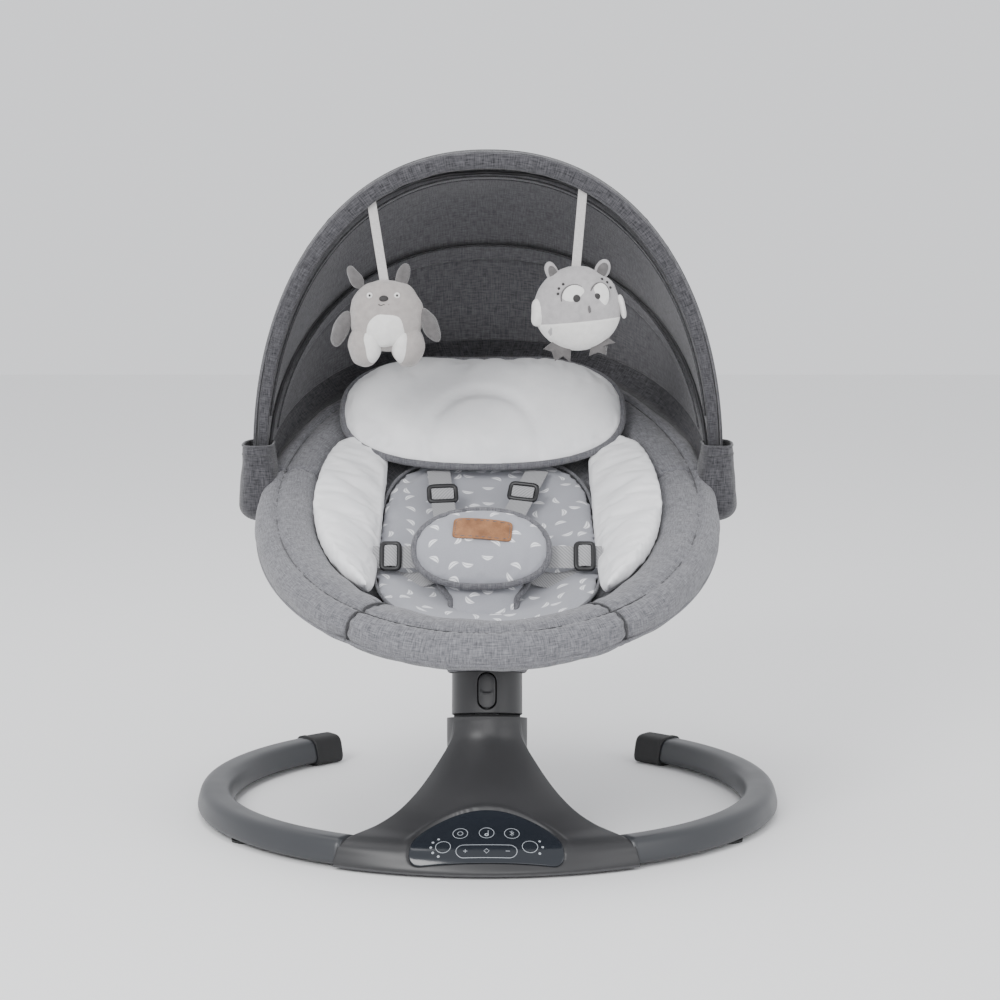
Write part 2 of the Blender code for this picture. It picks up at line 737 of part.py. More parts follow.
# ---------------------------------------------------------------- canopy
def make_bow(name, bow, body):
    """A rod bent to an arch, with a drilled disc at each foot."""
    shares = [0.0035, *np.linspace(0.015, 0.985, 23), 0.9965]
    rod = tube(name, [bow_point(bow, s) for s in shares], BOW_R, body, NYLON)
    across = Matrix.Rotation(pi / 2, 4, "Y")
    for side in (-1, 1):
        spot = Matrix.Translation((side * bow[1], HINGE_BACK, HINGE_HEIGHT)) @ across
        foot = disc(0.009, 0.0034, spot, "foot_disc", body, NYLON, 12, True)
        hole = disc(0.0029, 0.02, spot, "foot_hole", body, NYLON, 12, True)
        boolean(rod, foot, "UNION")
        boolean(rod, hole)


def make_cloth(name, first, last, body, angles, drop=0.0):
    """A canopy panel between two arches, clear of the bows and of the panels inside it."""
    rows = []
    for angle in angles:
        share = (angle - first[0]) / (last[0] - first[0])
        half = max(first[1], last[1])
        high = first[2] + (last[2] - first[2]) * share
        arch = (angle, half, high)
        rows.append(
            [bow_point(arch, s, CLOTH_OFF_BOW + CLOTH) for s in np.linspace(0.085, 0.915, 23)]
        )
    return shell(loft(rows, closed_rows=False), name, CLOTH, body, CANOPY)


def make_canopy():
    make_bow("front_canopy_bow", FRONT_BOW, "front_bow")
    make_bow("mid_canopy_bow", MID_BOW, "mid_bow")
    make_bow("rear_canopy_bow", REAR_BOW, "seat")
    front_end = (radians(10), FRONT_BOW[1], FRONT_BOW[2])
    mid_end = (radians(42), MID_BOW[1], MID_BOW[2] - 0.006)
    tail_end = (radians(66), REAR_BOW[1], 0.292)
    spans = [radians(a) for a in (-6.5, -2, 3, 8)]
    make_cloth("canopy_front_panel", FRONT_BOW, front_end, "front_bow", spans)
    spans = [radians(a) for a in (9.4, 17, 25, 33, 41.4)]
    make_cloth("canopy_mid_panel", MID_BOW, mid_end, "mid_bow", spans)
    spans = [radians(a) for a in (41.8, 50, 58, 66)]
    make_cloth("canopy_tail", REAR_BOW, tail_end, "seat", spans)


COVER_OUT, COVER_IN = 0.2680, 0.2450


def make_hinge_covers():
    """Pockets over the hinges, open above and inside, so that the bows can fan out."""
    for side, word in ((-1, "left"), (1, "right")):
        middle = side * (COVER_OUT + COVER_IN) / 2
        place = Matrix.Translation((middle, HINGE_BACK, 0.337))
        cover = block(
            word + "_hinge_cover", (COVER_OUT - COVER_IN, 0.064, 0.070), place, "seat", CANOPY, 0.0015
        )
        hollow = Matrix.Translation((side * (COVER_IN + 0.0015), HINGE_BACK, 0.339 + 0.01))
        cut = block(
            "cut", (0.0385, 0.060, 0.090), hollow, "seat", CANOPY, 0, True
        )
        boolean(cover, cut)


# ---------------------------------------------------------------- toys
def make_toy(name, top, centre, half, body):
    """A plush toy as a plain rounded form, hanging by its ribbon from the front bow."""
    toy = pad(name, lambda x, y, z: centre + Vector((half[0] * x, half[1] * y, half[2] * z)),
              body, TOY, 16, 10)
    start = top + Vector((0, 0, -0.0082))
    end = Vector((centre.x, centre.y, centre.z + half[2] * 0.9))
    place = strap_frame(start, end, Vector((0, -1, 0)))
    ribbon = block("ribbon", (0.0095, (end - start).length, 0.0012), place, body, TOY, 0, True)
    boolean(toy, ribbon, "UNION")


def make_toys():
    bear = Vector((-0.1075, 0.215, 0.507))
    make_toy("bear_toy", BEAR_TOP, bear, (0.042, 0.027, 0.046), "bear")
    owl = Vector((0.0950, 0.215, 0.523))
    make_toy("owl_toy", OWL_TOP, owl, (0.046, 0.030, 0.045), "owl")


make_legs()
make_housing()
make_base_inside()
make_neck()
make_ring()
make_hinges()
make_soft_shells()
make_liner()
make_harness()
make_canopy()
make_hinge_covers()
make_toys()
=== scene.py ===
# %% [markdown]
# # A baby swing, cell by cell
# An electric baby swing stands on a C-shaped floor ring. Its seat hangs on a leaning neck and turns from side to
# side. The frame, with its sizes and joints, is loaded first; every soft or finely shaped piece is then worked
# out as a surface in numpy and put where the frame says.

# %% load the frame
import json
from math import cos, pi, radians, sin

import bmesh
import bpy
import numpy as np
from mathutils import Matrix, Vector

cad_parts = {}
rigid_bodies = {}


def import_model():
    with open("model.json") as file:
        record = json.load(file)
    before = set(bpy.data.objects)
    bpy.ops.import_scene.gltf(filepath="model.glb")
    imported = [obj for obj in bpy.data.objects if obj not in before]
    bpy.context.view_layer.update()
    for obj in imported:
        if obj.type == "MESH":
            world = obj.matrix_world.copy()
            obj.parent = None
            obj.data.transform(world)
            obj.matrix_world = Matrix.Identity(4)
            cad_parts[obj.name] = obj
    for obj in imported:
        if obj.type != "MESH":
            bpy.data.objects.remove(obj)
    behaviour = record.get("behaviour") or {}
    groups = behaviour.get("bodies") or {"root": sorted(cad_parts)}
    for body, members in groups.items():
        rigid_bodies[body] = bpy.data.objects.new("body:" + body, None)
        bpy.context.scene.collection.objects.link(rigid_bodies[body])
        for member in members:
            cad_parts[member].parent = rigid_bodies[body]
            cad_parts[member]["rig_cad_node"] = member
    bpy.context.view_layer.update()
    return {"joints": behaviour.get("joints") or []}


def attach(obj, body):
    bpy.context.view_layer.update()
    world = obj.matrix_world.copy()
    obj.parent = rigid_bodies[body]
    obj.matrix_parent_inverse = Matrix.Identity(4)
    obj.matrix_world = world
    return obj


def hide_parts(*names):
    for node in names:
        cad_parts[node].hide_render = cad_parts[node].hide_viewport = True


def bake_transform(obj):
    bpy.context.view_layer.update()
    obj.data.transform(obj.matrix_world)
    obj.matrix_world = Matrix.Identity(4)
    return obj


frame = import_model()
joints = {joint["name"]: joint for joint in frame["joints"]}
axis_y, neck_z = joints["seat_swing"]["pos_m"][1:]
hinge_y, hinge_z = joints["canopy_fold"]["pos_m"][1:]
print("swing axis", axis_y, neck_z, "canopy hinge", hinge_y, hinge_z)

# %% [markdown]
# ## Two slanted frames
# The neck leans back by 14 degrees, and the seat ring rises by 18 degrees towards the head. Writing the neck and
# the ring in their own straight frames keeps their formulas simple; one matrix product then puts them in place.

# %% frames of the neck and of the seat ring
def slanted(place, angle, axis="X"):
    """A frame with its origin at a place, turned about one of its own axes, as a 4 by 4 array."""
    return np.array(Matrix.Translation(place) @ Matrix.Rotation(angle, 4, axis))


neck_tilt, ring_tilt = radians(14), radians(18)
NECK = slanted((0, axis_y, neck_z), -neck_tilt)
ring_centre = (0, axis_y + 0.1825, 0.324)
SEAT = slanted(ring_centre, ring_tilt)
ring_sag, ring_wide, ring_long = 0.018, 0.245, 0.355
pad_wide, pad_high, crease_at = 0.064, 0.044, 0.0095
sling_wide, sling_long = 0.178, 0.288


def placed(matrix, points):
    """Points of any array shape (..., 3), carried by a 4 by 4 matrix."""
    return points @ matrix[:3, :3].T + matrix[:3, 3]


def stack(*parts):
    """Coordinate arrays made one array of points; shapes are broadcast."""
    return np.stack(np.broadcast_arrays(*parts), axis=-1).astype(float)


def full_turn(count):
    """Evenly spread angles, once round a circle."""
    return np.linspace(0, 2 * pi, count, endpoint=False)


def curve_power(value, power):
    """|value|^power with the value's own sign: sines and cosines sent through it draw a rounded oblong."""
    return np.sign(value) * np.abs(value) ** power


def ring_space(u, v, w):
    """From the ring's frame to the room: across u, along v, off the plane w, which sags in the middle."""
    u, v, w = np.broadcast_arrays(u, v, w)
    return placed(SEAT, stack(u, v, w - ring_sag * (1 - (v / ring_long) ** 2)))


def on_ring(turn, out, up):
    """A point beside the ring's middle line: turn is 0 at the right, 90 degrees at the head."""
    a, b = ring_wide - pad_wide / 2, ring_long - pad_wide / 2
    nx, ny = b * np.cos(turn), a * np.sin(turn)
    size = np.hypot(nx, ny)
    return ring_space(a * np.cos(turn) + out * nx / size, b * np.sin(turn) + out * ny / size, up)


def sling_space(u, v, above):
    """A point above the sling, which is deep under the hips and shallow at the head."""
    reach = np.minimum(1, np.hypot(u / sling_wide, v / sling_long))
    depth = np.maximum(0, 0.0405 - 0.155 * v + 0.6 * v * v) * (1 - reach**2.5)
    return ring_space(u, v, above - depth)


# %% [markdown]
# ## From an array of points to a mesh
# Every new piece is a grid of points: rows along one direction, columns along the other. Quads join neighbours,
# and either direction may close on itself. The UV map is in metres along the cloth, so a weave keeps its size.

# %% the grid-to-mesh helper
def metres_along(points, axis):
    """How far each row or column lies along the surface, measured through the middle of the grid."""
    steps = np.linalg.norm(np.diff(points, axis=axis), axis=-1).mean(axis=1 - axis)
    return np.concatenate([[0], np.cumsum(steps)])


def skin(name, points, closed=(False, False), caps=False, away_from=None):
    """A mesh object from a grid (rows, columns, 3). Faces turn outwards, or away from a given point."""
    rows, columns = points.shape[:2]
    index = np.arange(rows * columns).reshape(rows, columns)
    across = np.arange(columns if closed[1] else columns - 1)
    along = np.arange(rows if closed[0] else rows - 1)
    i, j = np.meshgrid(along, across, indexing="ij")
    i2, j2 = (i + 1) % rows, (j + 1) % columns
    quads = np.stack([index[i, j], index[i, j2], index[i2, j2], index[i2, j]], -1).reshape(-1, 4)
    faces = quads.tolist()
    if caps:
        faces += [index[0][::-1].tolist(), index[-1].tolist()]
    mesh = bpy.data.meshes.new(name)
    mesh.from_pydata(points.reshape(-1, 3).tolist(), [], faces)
    u = metres_along(points, 1)
    v = metres_along(points, 0)
    uv = mesh.uv_layers.new(name="cloth")
    grown_u = np.append(u, u[-1] + (u[1] - u[0]))
    grown_v = np.append(v, v[-1] + (v[1] - v[0]))
    corners = np.stack(
        [
            np.stack([grown_u[j], grown_v[i]], -1),
            np.stack([grown_u[j + 1], grown_v[i]], -1),
            np.stack([grown_u[j + 1], grown_v[i + 1]], -1),
            np.stack([grown_u[j], grown_v[i + 1]], -1),
        ],
        axis=2,
    ).reshape(-1, 2)
    values = np.zeros((len(mesh.loops), 2), np.float32)
    values[: len(corners)] = corners
    uv.data.foreach_set("uv", values.ravel())
    made = bpy.data.objects.new(name, mesh)
    bpy.context.scene.collection.objects.link(made)
    bm = bmesh.new()
    bm.from_mesh(mesh)
    bmesh.ops.remove_doubles(bm, verts=bm.verts, dist=0.00002)
    if away_from is None:
        bmesh.ops.recalc_face_normals(bm, faces=bm.faces)
        turned = bm.calc_volume(signed=True) < 0
    else:
        turned = sum((f.calc_center_median() - Vector(away_from)).dot(f.normal) for f in bm.faces) < 0
    if turned:
        bmesh.ops.reverse_faces(bm, faces=bm.faces)
    bm.to_mesh(mesh)
    bm.free()
    mesh.shade_smooth()
    return made


def finished(made, material, body, replaces=()):
    """Gives a piece its material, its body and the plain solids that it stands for."""
    made.data.materials.clear()
    made.data.materials.append(material)
    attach(made, body)
    if replaces:
        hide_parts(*replaces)
    return made


def wall(made, thick, offset=-1.0):
    """Gives an open surface a wall."""
    step = made.modifiers.new("wall", "SOLIDIFY")
    step.thickness = thick
    step.offset = offset
    return made


def smoothed(made, levels=1):
    """One subdivision, the same in the viewport and in a render."""
    step = made.modifiers.new("smooth", "SUBSURF")
    step.levels = step.render_levels = levels
    return made


def rope(name, path, radius, material, body, around=10, closed=False, flat=1.0):
    """A round cord of cloth or metal along an array of points: circles square to the path's direction."""
    path = np.asarray(path, float)
    if closed:
        along = np.roll(path, -1, 0) - np.roll(path, 1, 0)
    else:
        along = np.gradient(path, axis=0)
    along /= np.linalg.norm(along, axis=1)[:, None]
    side = np.cross(along, [0.13, 0.21, 0.97])
    side /= np.linalg.norm(side, axis=1)[:, None]
    up = np.cross(side, along)
    turn = full_turn(around)
    ring = side[:, None] * np.cos(turn)[None, :, None] + flat * up[:, None] * np.sin(turn)[None, :, None]
    made = skin(name, path[:, None] + radius * ring, (closed, True), caps=not closed)
    return finished(made, material, body)


# %% [markdown]
# ## Materials
# Heathered cloth is woven from threads of mixed greys. Two stretched noises, one along each thread direction,
# give the crosshatch, and a fine wave gives the weave its bump. Plastics get a fine moulded grain instead.

# %% node helpers
class Nodes:
    """A short way to write a node tree: each call adds a node and links what it is given."""

    def __init__(self, name, roughness=0.5, **inputs):
        self.material = bpy.data.materials.new(name)
        self.material.use_nodes = True
        self.tree = self.material.node_tree
        self.shader = self.tree.nodes["Principled BSDF"]
        self.shader.inputs["Roughness"].default_value = roughness
        for key, value in inputs.items():
            self.shader.inputs[key.replace("_", " ")].default_value = value

    def put(self, target, value):
        """Links a socket, or sets a plain value."""
        if isinstance(value, bpy.types.NodeSocket):
            self.tree.links.new(value, target)
        else:
            target.default_value = value

    def add(self, kind, out=0, settings=None, **inputs):
        """Adds a node and gives back one of its outputs."""
        node = self.tree.nodes.new(kind)
        for key, value in (settings or {}).items():
            setattr(node, key, value)
        for key, value in inputs.items():
            spot = int(key[1:]) if key[0] == "i" and key[1:].isdigit() else key.replace("_", " ")
            self.put(node.inputs[spot], value)
        return node.outputs[out]

    def maths(self, what, first, second=0.0, third=0.0):
        """One Math node."""
        return self.add("ShaderNodeMath", 0, {"operation": what}, i0=first, i1=second, i2=third)

    def mix(self, share, first, second):
        """Two colours mixed."""
        return self.add(
            "ShaderNodeMix", 2, {"data_type": "RGBA"}, i0=share, i6=rgba(first), i7=rgba(second)
        )

    def coordinates(self, scale=(1, 1, 1), turn=(0, 0, 0), uv=False, place=(0, 0, 0)):
        """Object or UV coordinates, turned, moved and stretched."""
        source = self.add("ShaderNodeTexCoord", "UV" if uv else "Object")
        return self.add(
            "ShaderNodeMapping", 0, None, Vector=source, Scale=scale, Rotation=turn, Location=place
        )

    def noise(self, vector, scale, detail=2.0, rough=0.5):
        """A noise value, between 0 and 1."""
        return self.add(
            "ShaderNodeTexNoise", 0, None, Vector=vector, Scale=scale, Detail=detail, Roughness=rough
        )

    def spread(self, value, low, high, to_low=0.0, to_high=1.0):
        """A value's range stretched to another range."""
        return self.add(
            "ShaderNodeMapRange", 0, None, Value=value, From_Min=low, From_Max=high,
            To_Min=to_low, To_Max=to_high,
        )

    def done(self, colour=None, height=None, bump=0.3, depth=0.0004, roughness=None):
        """Links the colour, bump and roughness, and gives back the material."""
        if colour is not None:
            self.put(self.shader.inputs["Base Color"], rgba(colour))
        if height is not None:
            normal = self.add(
                "ShaderNodeBump", 0, None, Strength=bump, Distance=depth, Height=height
            )
            self.put(self.shader.inputs["Normal"], normal)
        if roughness is not None:
            self.put(self.shader.inputs["Roughness"], roughness)
        return self.material


def rgba(colour):
    """A grey level or three numbers made four; a socket is left as it is."""
    if isinstance(colour, bpy.types.NodeSocket):
        return colour
    if isinstance(colour, (int, float)):
        colour = (colour, colour, colour)
    return (*colour[:3], 1.0)


# %% cloth
def melange(name, dark, light, thread=0.0011, uv=True, contrast=1.0, sheen=0.25):
    """Heathered cloth: slubs along both thread directions, with a fine over-and-under bump."""
    n = Nodes(name, 0.92, Sheen_Weight=sheen, Sheen_Roughness=0.5, Specular_IOR_Level=0.2)
    long, short = 0.11 / thread, 0.9 / thread
    warp = n.noise(n.coordinates((short, long, long), uv=uv), 1.0, 3.0, 0.6)
    weft = n.noise(n.coordinates((long, short, short), uv=uv, place=(3, 7, 1)), 1.0, 3.0, 0.6)
    both = n.maths("ADD", warp, weft)
    cloud = n.noise(n.coordinates(uv=uv), 9.0, 2.0)
    slub = n.spread(both, 1.0 - 0.24 / contrast, 1.0 + 0.24 / contrast)
    colour = n.mix(slub, dark, light)
    colour = n.mix(n.spread(cloud, 0.3, 0.7, 0.0, 0.16), colour, dark)
    wave_u = n.add(
        "ShaderNodeTexWave", 1, {"bands_direction": "X"},
        Vector=n.coordinates(uv=uv), Scale=0.31 / thread, Distortion=0.6,
    )
    wave_v = n.add(
        "ShaderNodeTexWave", 1, {"bands_direction": "Y"},
        Vector=n.coordinates(uv=uv), Scale=0.31 / thread, Distortion=0.6,
    )
    weave = n.maths("MULTIPLY", wave_u, wave_v)
    return n.done(colour, n.maths("MULTIPLY_ADD", both, 0.8, weave), 0.5, 0.0004)


def brushed_cotton(name, colour, shade):
    """Soft plain cloth: a fine nap and slow clouds of shade."""
    n = Nodes(name, 0.95, Sheen_Weight=0.35, Sheen_Roughness=0.6, Specular_IOR_Level=0.15)
    nap = n.noise(n.coordinates(), 1400.0, 3.0, 0.7)
    cloud = n.noise(n.coordinates(), 26.0, 3.0)
    tint = n.mix(n.spread(cloud, 0.35, 0.7, 0.0, 0.5), colour, shade)
    folds = n.noise(n.coordinates(), 60.0, 2.0)
    return n.done(tint, n.maths("MULTIPLY_ADD", nap, 0.25, folds), 0.35, 0.0012)


def leaf_print(name, tilt, ground=(0.335, 0.34, 0.372), mark=(0.84, 0.84, 0.86), cell=0.0230):
    """Printed cotton: one small bent leaf in each cell of a flat pattern, each turned its own way."""
    n = Nodes(name, 0.9, Sheen_Weight=0.25, Specular_IOR_Level=0.2)
    flat = n.coordinates((1 / cell,) * 3, (-tilt, 0, 0))
    cells = n.tree.nodes.new("ShaderNodeTexVoronoi")
    cells.voronoi_dimensions = "2D"
    cells.inputs["Scale"].default_value = 1.0
    cells.inputs["Randomness"].default_value = 0.75
    n.put(cells.inputs["Vector"], flat)
    local = n.add("ShaderNodeVectorMath", 0, {"operation": "SUBTRACT"}, i0=flat, i1=cells.outputs[2])
    parts = n.tree.nodes.new("ShaderNodeSeparateColor")
    n.put(parts.inputs[0], cells.outputs["Color"])
    angle = n.maths("MULTIPLY", parts.outputs[0], 2 * pi)
    turned = n.add(
        "ShaderNodeVectorRotate", 0, {"rotation_type": "Z_AXIS"}, Vector=local, Angle=angle
    )
    split = n.tree.nodes.new("ShaderNodeSeparateXYZ")
    n.put(split.inputs[0], turned)
    x, y = split.outputs[0], split.outputs[1]
    square = n.maths("MULTIPLY", x, x)
    bent = n.maths("SUBTRACT", y, n.maths("MULTIPLY", square, 1.3))
    middle = n.maths("ABSOLUTE", bent)
    width = n.maths("MULTIPLY_ADD", square, -1.15, 0.115)
    leaf = n.spread(n.maths("SUBTRACT", width, middle), -0.012, 0.02)
    vein = n.spread(middle, 0.006, 0.022)
    leaf = n.maths("MULTIPLY", leaf, vein)
    thread = n.noise(n.coordinates((900, 900, 900)), 1.0, 2.0)
    cloud = n.noise(n.coordinates(), 22.0, 2.0)
    base = n.mix(n.spread(thread, 0.3, 0.7, 0.0, 0.35), ground, [c * 0.78 for c in ground])
    base = n.mix(n.spread(cloud, 0.4, 0.7, 0.0, 0.25), base, [c * 1.25 for c in ground])
    return n.done(n.mix(leaf, base, mark), thread, 0.3, 0.0003)


def plush(name, colour, shade):
    """Short pile: tiny clumps that catch the light."""
    n = Nodes(name, 1.0, Sheen_Weight=0.6, Sheen_Roughness=0.5, Specular_IOR_Level=0.1)
    pile = n.noise(n.coordinates(), 900.0, 4.0, 0.75)
    clump = n.noise(n.coordinates(), 160.0, 2.0)
    tint = n.mix(n.spread(clump, 0.3, 0.75), shade, colour)
    return n.done(tint, n.maths("ADD", pile, clump), 0.6, 0.0014)


# %% webbing, leather, plastics and metal
def woven_strap(name, dark, light):
    """Harness webbing: diagonal ribs with paler threads, on the strap's own UV map."""
    n = Nodes(name, 0.85, Sheen_Weight=0.2, Specular_IOR_Level=0.25)
    ribs = n.add(
        "ShaderNodeTexWave", 1, {"bands_direction": "DIAGONAL"},
        Vector=n.coordinates(uv=True), Scale=170.0, Distortion=0.4,
    )
    speck = n.noise(n.coordinates(uv=True), 1500.0, 2.0)
    share = n.maths("MULTIPLY_ADD", ribs, 0.6, n.maths("MULTIPLY", speck, 0.4))
    return n.done(n.mix(share, dark, light), ribs, 0.5, 0.0005)


def hide(name, dark, light):
    """Smooth leather: pores, pale rubbing and fine wrinkles."""
    n = Nodes(name, 0.55, Specular_IOR_Level=0.4)
    grain = n.noise(n.coordinates(), 700.0, 4.0, 0.65)
    cloud = n.noise(n.coordinates(), 90.0, 3.0)
    tint = n.mix(n.spread(cloud, 0.3, 0.7), dark, light)
    tint = n.mix(n.spread(grain, 0.4, 0.75, 0.0, 0.35), tint, [c * 0.55 for c in dark])
    return n.done(tint, grain, 0.35, 0.0004)


def moulded(name, colour, roughness=0.42, grain=1100.0, bump=0.12, metallic=0.0):
    """Moulded or coated material: fine grain, and a roughness that changes a little from place to place."""
    n = Nodes(name, roughness, Metallic=metallic)
    fine = n.noise(n.coordinates(), grain, 3.0, 0.6)
    cloud = n.noise(n.coordinates(), 14.0, 2.0)
    tint = n.mix(n.spread(cloud, 0.3, 0.7, 0.0, 0.25), colour, [c * 1.25 for c in colour])
    rough = n.spread(cloud, 0.3, 0.7, roughness - 0.04, roughness + 0.05)
    return n.done(tint, fine, bump, 0.0002, rough)


canopy_cloth = melange("canopy_cloth", (0.022, 0.022, 0.025), (0.105, 0.103, 0.112), 0.0012)
# The canopy's inside is the same cloth as its outside, painted lighter: painted light where the front light
# falls into the canopy.
canopy_inside = melange("canopy_inside", (0.070, 0.069, 0.075), (0.165, 0.163, 0.174), 0.0012)
hull_cloth = melange("hull_cloth", (0.070, 0.070, 0.078), (0.215, 0.215, 0.232), 0.0011)
ring_cloth = melange("ring_cloth", (0.078, 0.078, 0.087), (0.235, 0.235, 0.252), 0.0011)
white_cloth = brushed_cotton("white_cloth", (0.86, 0.86, 0.87), (0.72, 0.73, 0.75))
pillow_cloth = brushed_cotton("pillow_cloth", (0.84, 0.84, 0.85), (0.68, 0.69, 0.71))
piping_cloth = melange("piping_cloth", (0.070, 0.070, 0.078), (0.190, 0.190, 0.205), 0.0008, uv=False)
dark_piping = melange("dark_piping", (0.028, 0.028, 0.03), (0.09, 0.09, 0.095), 0.0008, uv=False)
webbing = woven_strap("strap_webbing", (0.20, 0.20, 0.205), (0.40, 0.40, 0.41))
leather = hide("tag_leather", (0.20, 0.085, 0.035), (0.36, 0.17, 0.075))
housing_plastic = moulded("housing_plastic", (0.024, 0.024, 0.0255), 0.40)
leg_coat = moulded("leg_coat", (0.031, 0.033, 0.037), 0.36, 1500.0, 0.08)
rubber = moulded("rubber", (0.013, 0.013, 0.0135), 0.70, 700.0, 0.3)
buckle_plastic = moulded("buckle_plastic", (0.010, 0.010, 0.011), 0.36)
black_label = moulded("black_label", (0.012, 0.012, 0.013), 0.6)
print("materials", len(bpy.data.materials))

# %% [markdown]
# ## The floor ring
# The leg is a bar of rounded section bent round the swing axis. Its width falls from 42 mm on the floor to
# 28 mm on top. The turn is measured from the front, so the two ends are at 135 degrees, each in a rubber boot.

# %% legs and end caps
base_y = axis_y + 0.145


def around_base(turn, out, height):
    """A point on the floor ring: turn from the front towards +x, out from the ring's middle line."""
    radius = 0.287 + out
    return stack(radius * np.sin(turn), base_y - radius * np.cos(turn), height)


def leg_section(grow=0.0, low=0.003, high=0.030, soft=3.6, points=56):
    """The section: a rounded oblong |x|^p + |z|^p = 1 whose half width falls from the floor to the top."""
    turn = full_turn(points)
    c, s = np.cos(turn), np.sin(turn)
    x = curve_power(c, 2 / soft)
    z = curve_power(s, 2 / soft)
    middle, half = (high + low) / 2, (high - low) / 2 + grow
    wide = 0.0175 - 0.0035 * z + grow
    return wide * x, middle + half * z


def tube_on_ring(name, start, end, grow=0.0, low=0.003, soft=3.6, round_end=0.0):
    """A bar along the floor ring; its last rows shrink along a quarter circle, which rounds the end."""
    side, height = leg_section(grow, low=low, soft=soft)
    turn = np.linspace(start, end, 90)
    scale = np.ones(len(turn))
    if round_end:
        part = np.linspace(0, pi / 2 - 0.02, 12)
        last = end + round_end * np.sin(part) * np.sign(end - start)
        turn = np.concatenate([turn, last[1:]])
        scale = np.concatenate([scale, 1 - 0.55 * (1 - np.cos(part[1:]))])
    middle = height.mean()
    rise = middle + (height - middle)[None] * scale[:, None]
    points = around_base(turn[:, None], side[None] * scale[:, None], rise)
    return skin(name, points, (False, True), caps=True)


for sign, side in ((-1, "left"), (1, "right")):
    leg = tube_on_ring(f"{side}_leg_tube", sign * radians(28.2), sign * radians(135.0))
    finished(leg, leg_coat, "base", [f"{side}_leg"])
    cap = tube_on_ring(
        f"{side}_leg_boot", sign * radians(134.9), sign * radians(141.6), 0.0012, 0.0012, 4.2, 0.022
    )
    finished(cap, rubber, "base", [f"{side}_leg_end_cap"])
    step = tube_on_ring(
        f"{side}_leg_band", sign * radians(134.6), sign * radians(135.6), 0.0019, 0.0019, 4.2
    )
    finished(step, rubber, "base")

# %% [markdown]
# ## The housing
# At the bottom the housing fills the front of the ring and reaches back to a point between the legs. At the top
# it is a small ring round the neck. Each level's outline lies between these two, nearer to the bottom one at the
# front than at the sides, so the front slopes gently and the sides are steep.

# %% housing outlines
def spline(values, count):
    """A smooth curve (Catmull-Rom) through the rows of an array, sampled evenly by row number."""
    values = np.asarray(values, float)
    padded = np.concatenate([2 * values[:1] - values[1:2], values, 2 * values[-1:] - values[-2:-1]])
    spot = np.linspace(0, len(values) - 1, count)
    i = np.minimum(spot.astype(int), len(values) - 2)
    t = (spot - i)[:, None]
    a, b, c, d = (padded[i + k] for k in range(4))
    return 0.5 * (2 * b + (c - a) * t + (2 * a - 5 * b + 4 * c - d) * t**2 + (3 * b - a - 3 * c + d) * t**3)


def foot_outline():
    """The outline on the floor: the ring's front arc, a straight edge at each leg, then two hollow sides."""
    arc = radians(29) * np.linspace(-1, 1, 181)
    front = np.stack([0.308 * np.sin(arc), 0.145 - 0.308 * np.cos(arc)], -1)
    share = np.linspace(0, 1, 121)
    c = np.cos(pi * share)
    deep = np.abs(c) ** 1.5
    rear = np.stack([0.043 * c + 0.086 * c**3, -0.088 * deep + 0.058 * (1 - deep)], -1)
    edge = np.linspace(0, 1, 10)[1:-1, None]
    return np.concatenate(
        [front, front[-1] * (1 - edge) + rear[0] * edge, rear, rear[-1] * (1 - edge) + front[0] * edge]
    )


outline = foot_outline()
shares = spline(
    [
        (0.1250, 0.0, 0.0), (0.1200, 0.002, 0.006), (0.106, 0.02, 0.05), (0.087, 0.10, 0.20),
        (0.066, 0.20, 0.42), (0.047, 0.38, 0.60), (0.036, 0.60, 0.75), (0.0305, 0.86, 0.84),
        (0.024, 0.99, 0.90), (0.015, 1.0, 0.96), (0.0074, 1.0, 1.0), (0.0030, 0.992, 0.995),
    ],
    150,
)
height = shares[:, :1]
facing = np.arctan2(outline[:, 0], -outline[:, 1])[None]
front_part = np.maximum(0, np.cos(facing)) ** 2
reach = shares[:, 1:2] + (shares[:, 2:3] - shares[:, 1:2]) * front_part
rim = np.stack([0.0405 * np.sin(facing), -0.0405 * np.cos(facing)], -1)
spot = rim + (outline[None] - rim) * reach[..., None]
lean = neck_tilt * np.maximum(0, (height - 0.06) / 0.065) ** 1.5
housing_grid = stack(spot[..., 0], spot[..., 1] + axis_y, height - spot[..., 1] * np.sin(lean))
print("housing", housing_grid.shape, housing_grid.min((0, 1)).round(3), housing_grid.max((0, 1)).round(3))

# %% the panel's place on the housing
PANEL = slanted((0, axis_y - 0.1315, 0.0365), radians(38))
TO_PANEL = np.linalg.inv(PANEL)
panel_half, panel_long = 0.076, 0.068


def terms(x, y):
    """Powers of x and y up to the fifth, for a least-squares surface."""
    return np.stack([x**i * y**j for i in range(6) for j in range(6 - i)], -1)


local = placed(TO_PANEL, housing_grid)
near = (np.abs(local[..., 0]) < 0.085) & (np.abs(local[..., 1]) < 0.046) & (local[..., 2] > -0.03)
sample = local[near] * (20, 20, 1)
fit = np.linalg.lstsq(terms(sample[:, 0], sample[:, 1]), sample[:, 2], rcond=None)[0]


def panel_height(x, y):
    """The housing's own height above the panel's plane, from the least-squares surface."""
    return terms(20 * x, 20 * y) @ fit


def panel_edge(x, y):
    """How far a point lies inside the half moon, in metres; negative outside."""
    low = -panel_long / 2
    straight = y - low
    rise = y - (low + 0.014)
    arch_high = panel_long - 0.014
    above = np.hypot(x / panel_half, np.maximum(0, rise) / arch_high)
    curved = (1 - above) * (0.5 * panel_half + 0.5 * arch_high)
    corner = 0.012
    cx, cy = np.maximum(0, np.abs(x) - (panel_half - corner)), np.maximum(0, low + corner - y)
    rounded = corner - np.hypot(cx, cy)
    inside = np.minimum(curved, straight)
    return np.where((cx > 0) & (cy > 0), np.minimum(inside, rounded), inside)


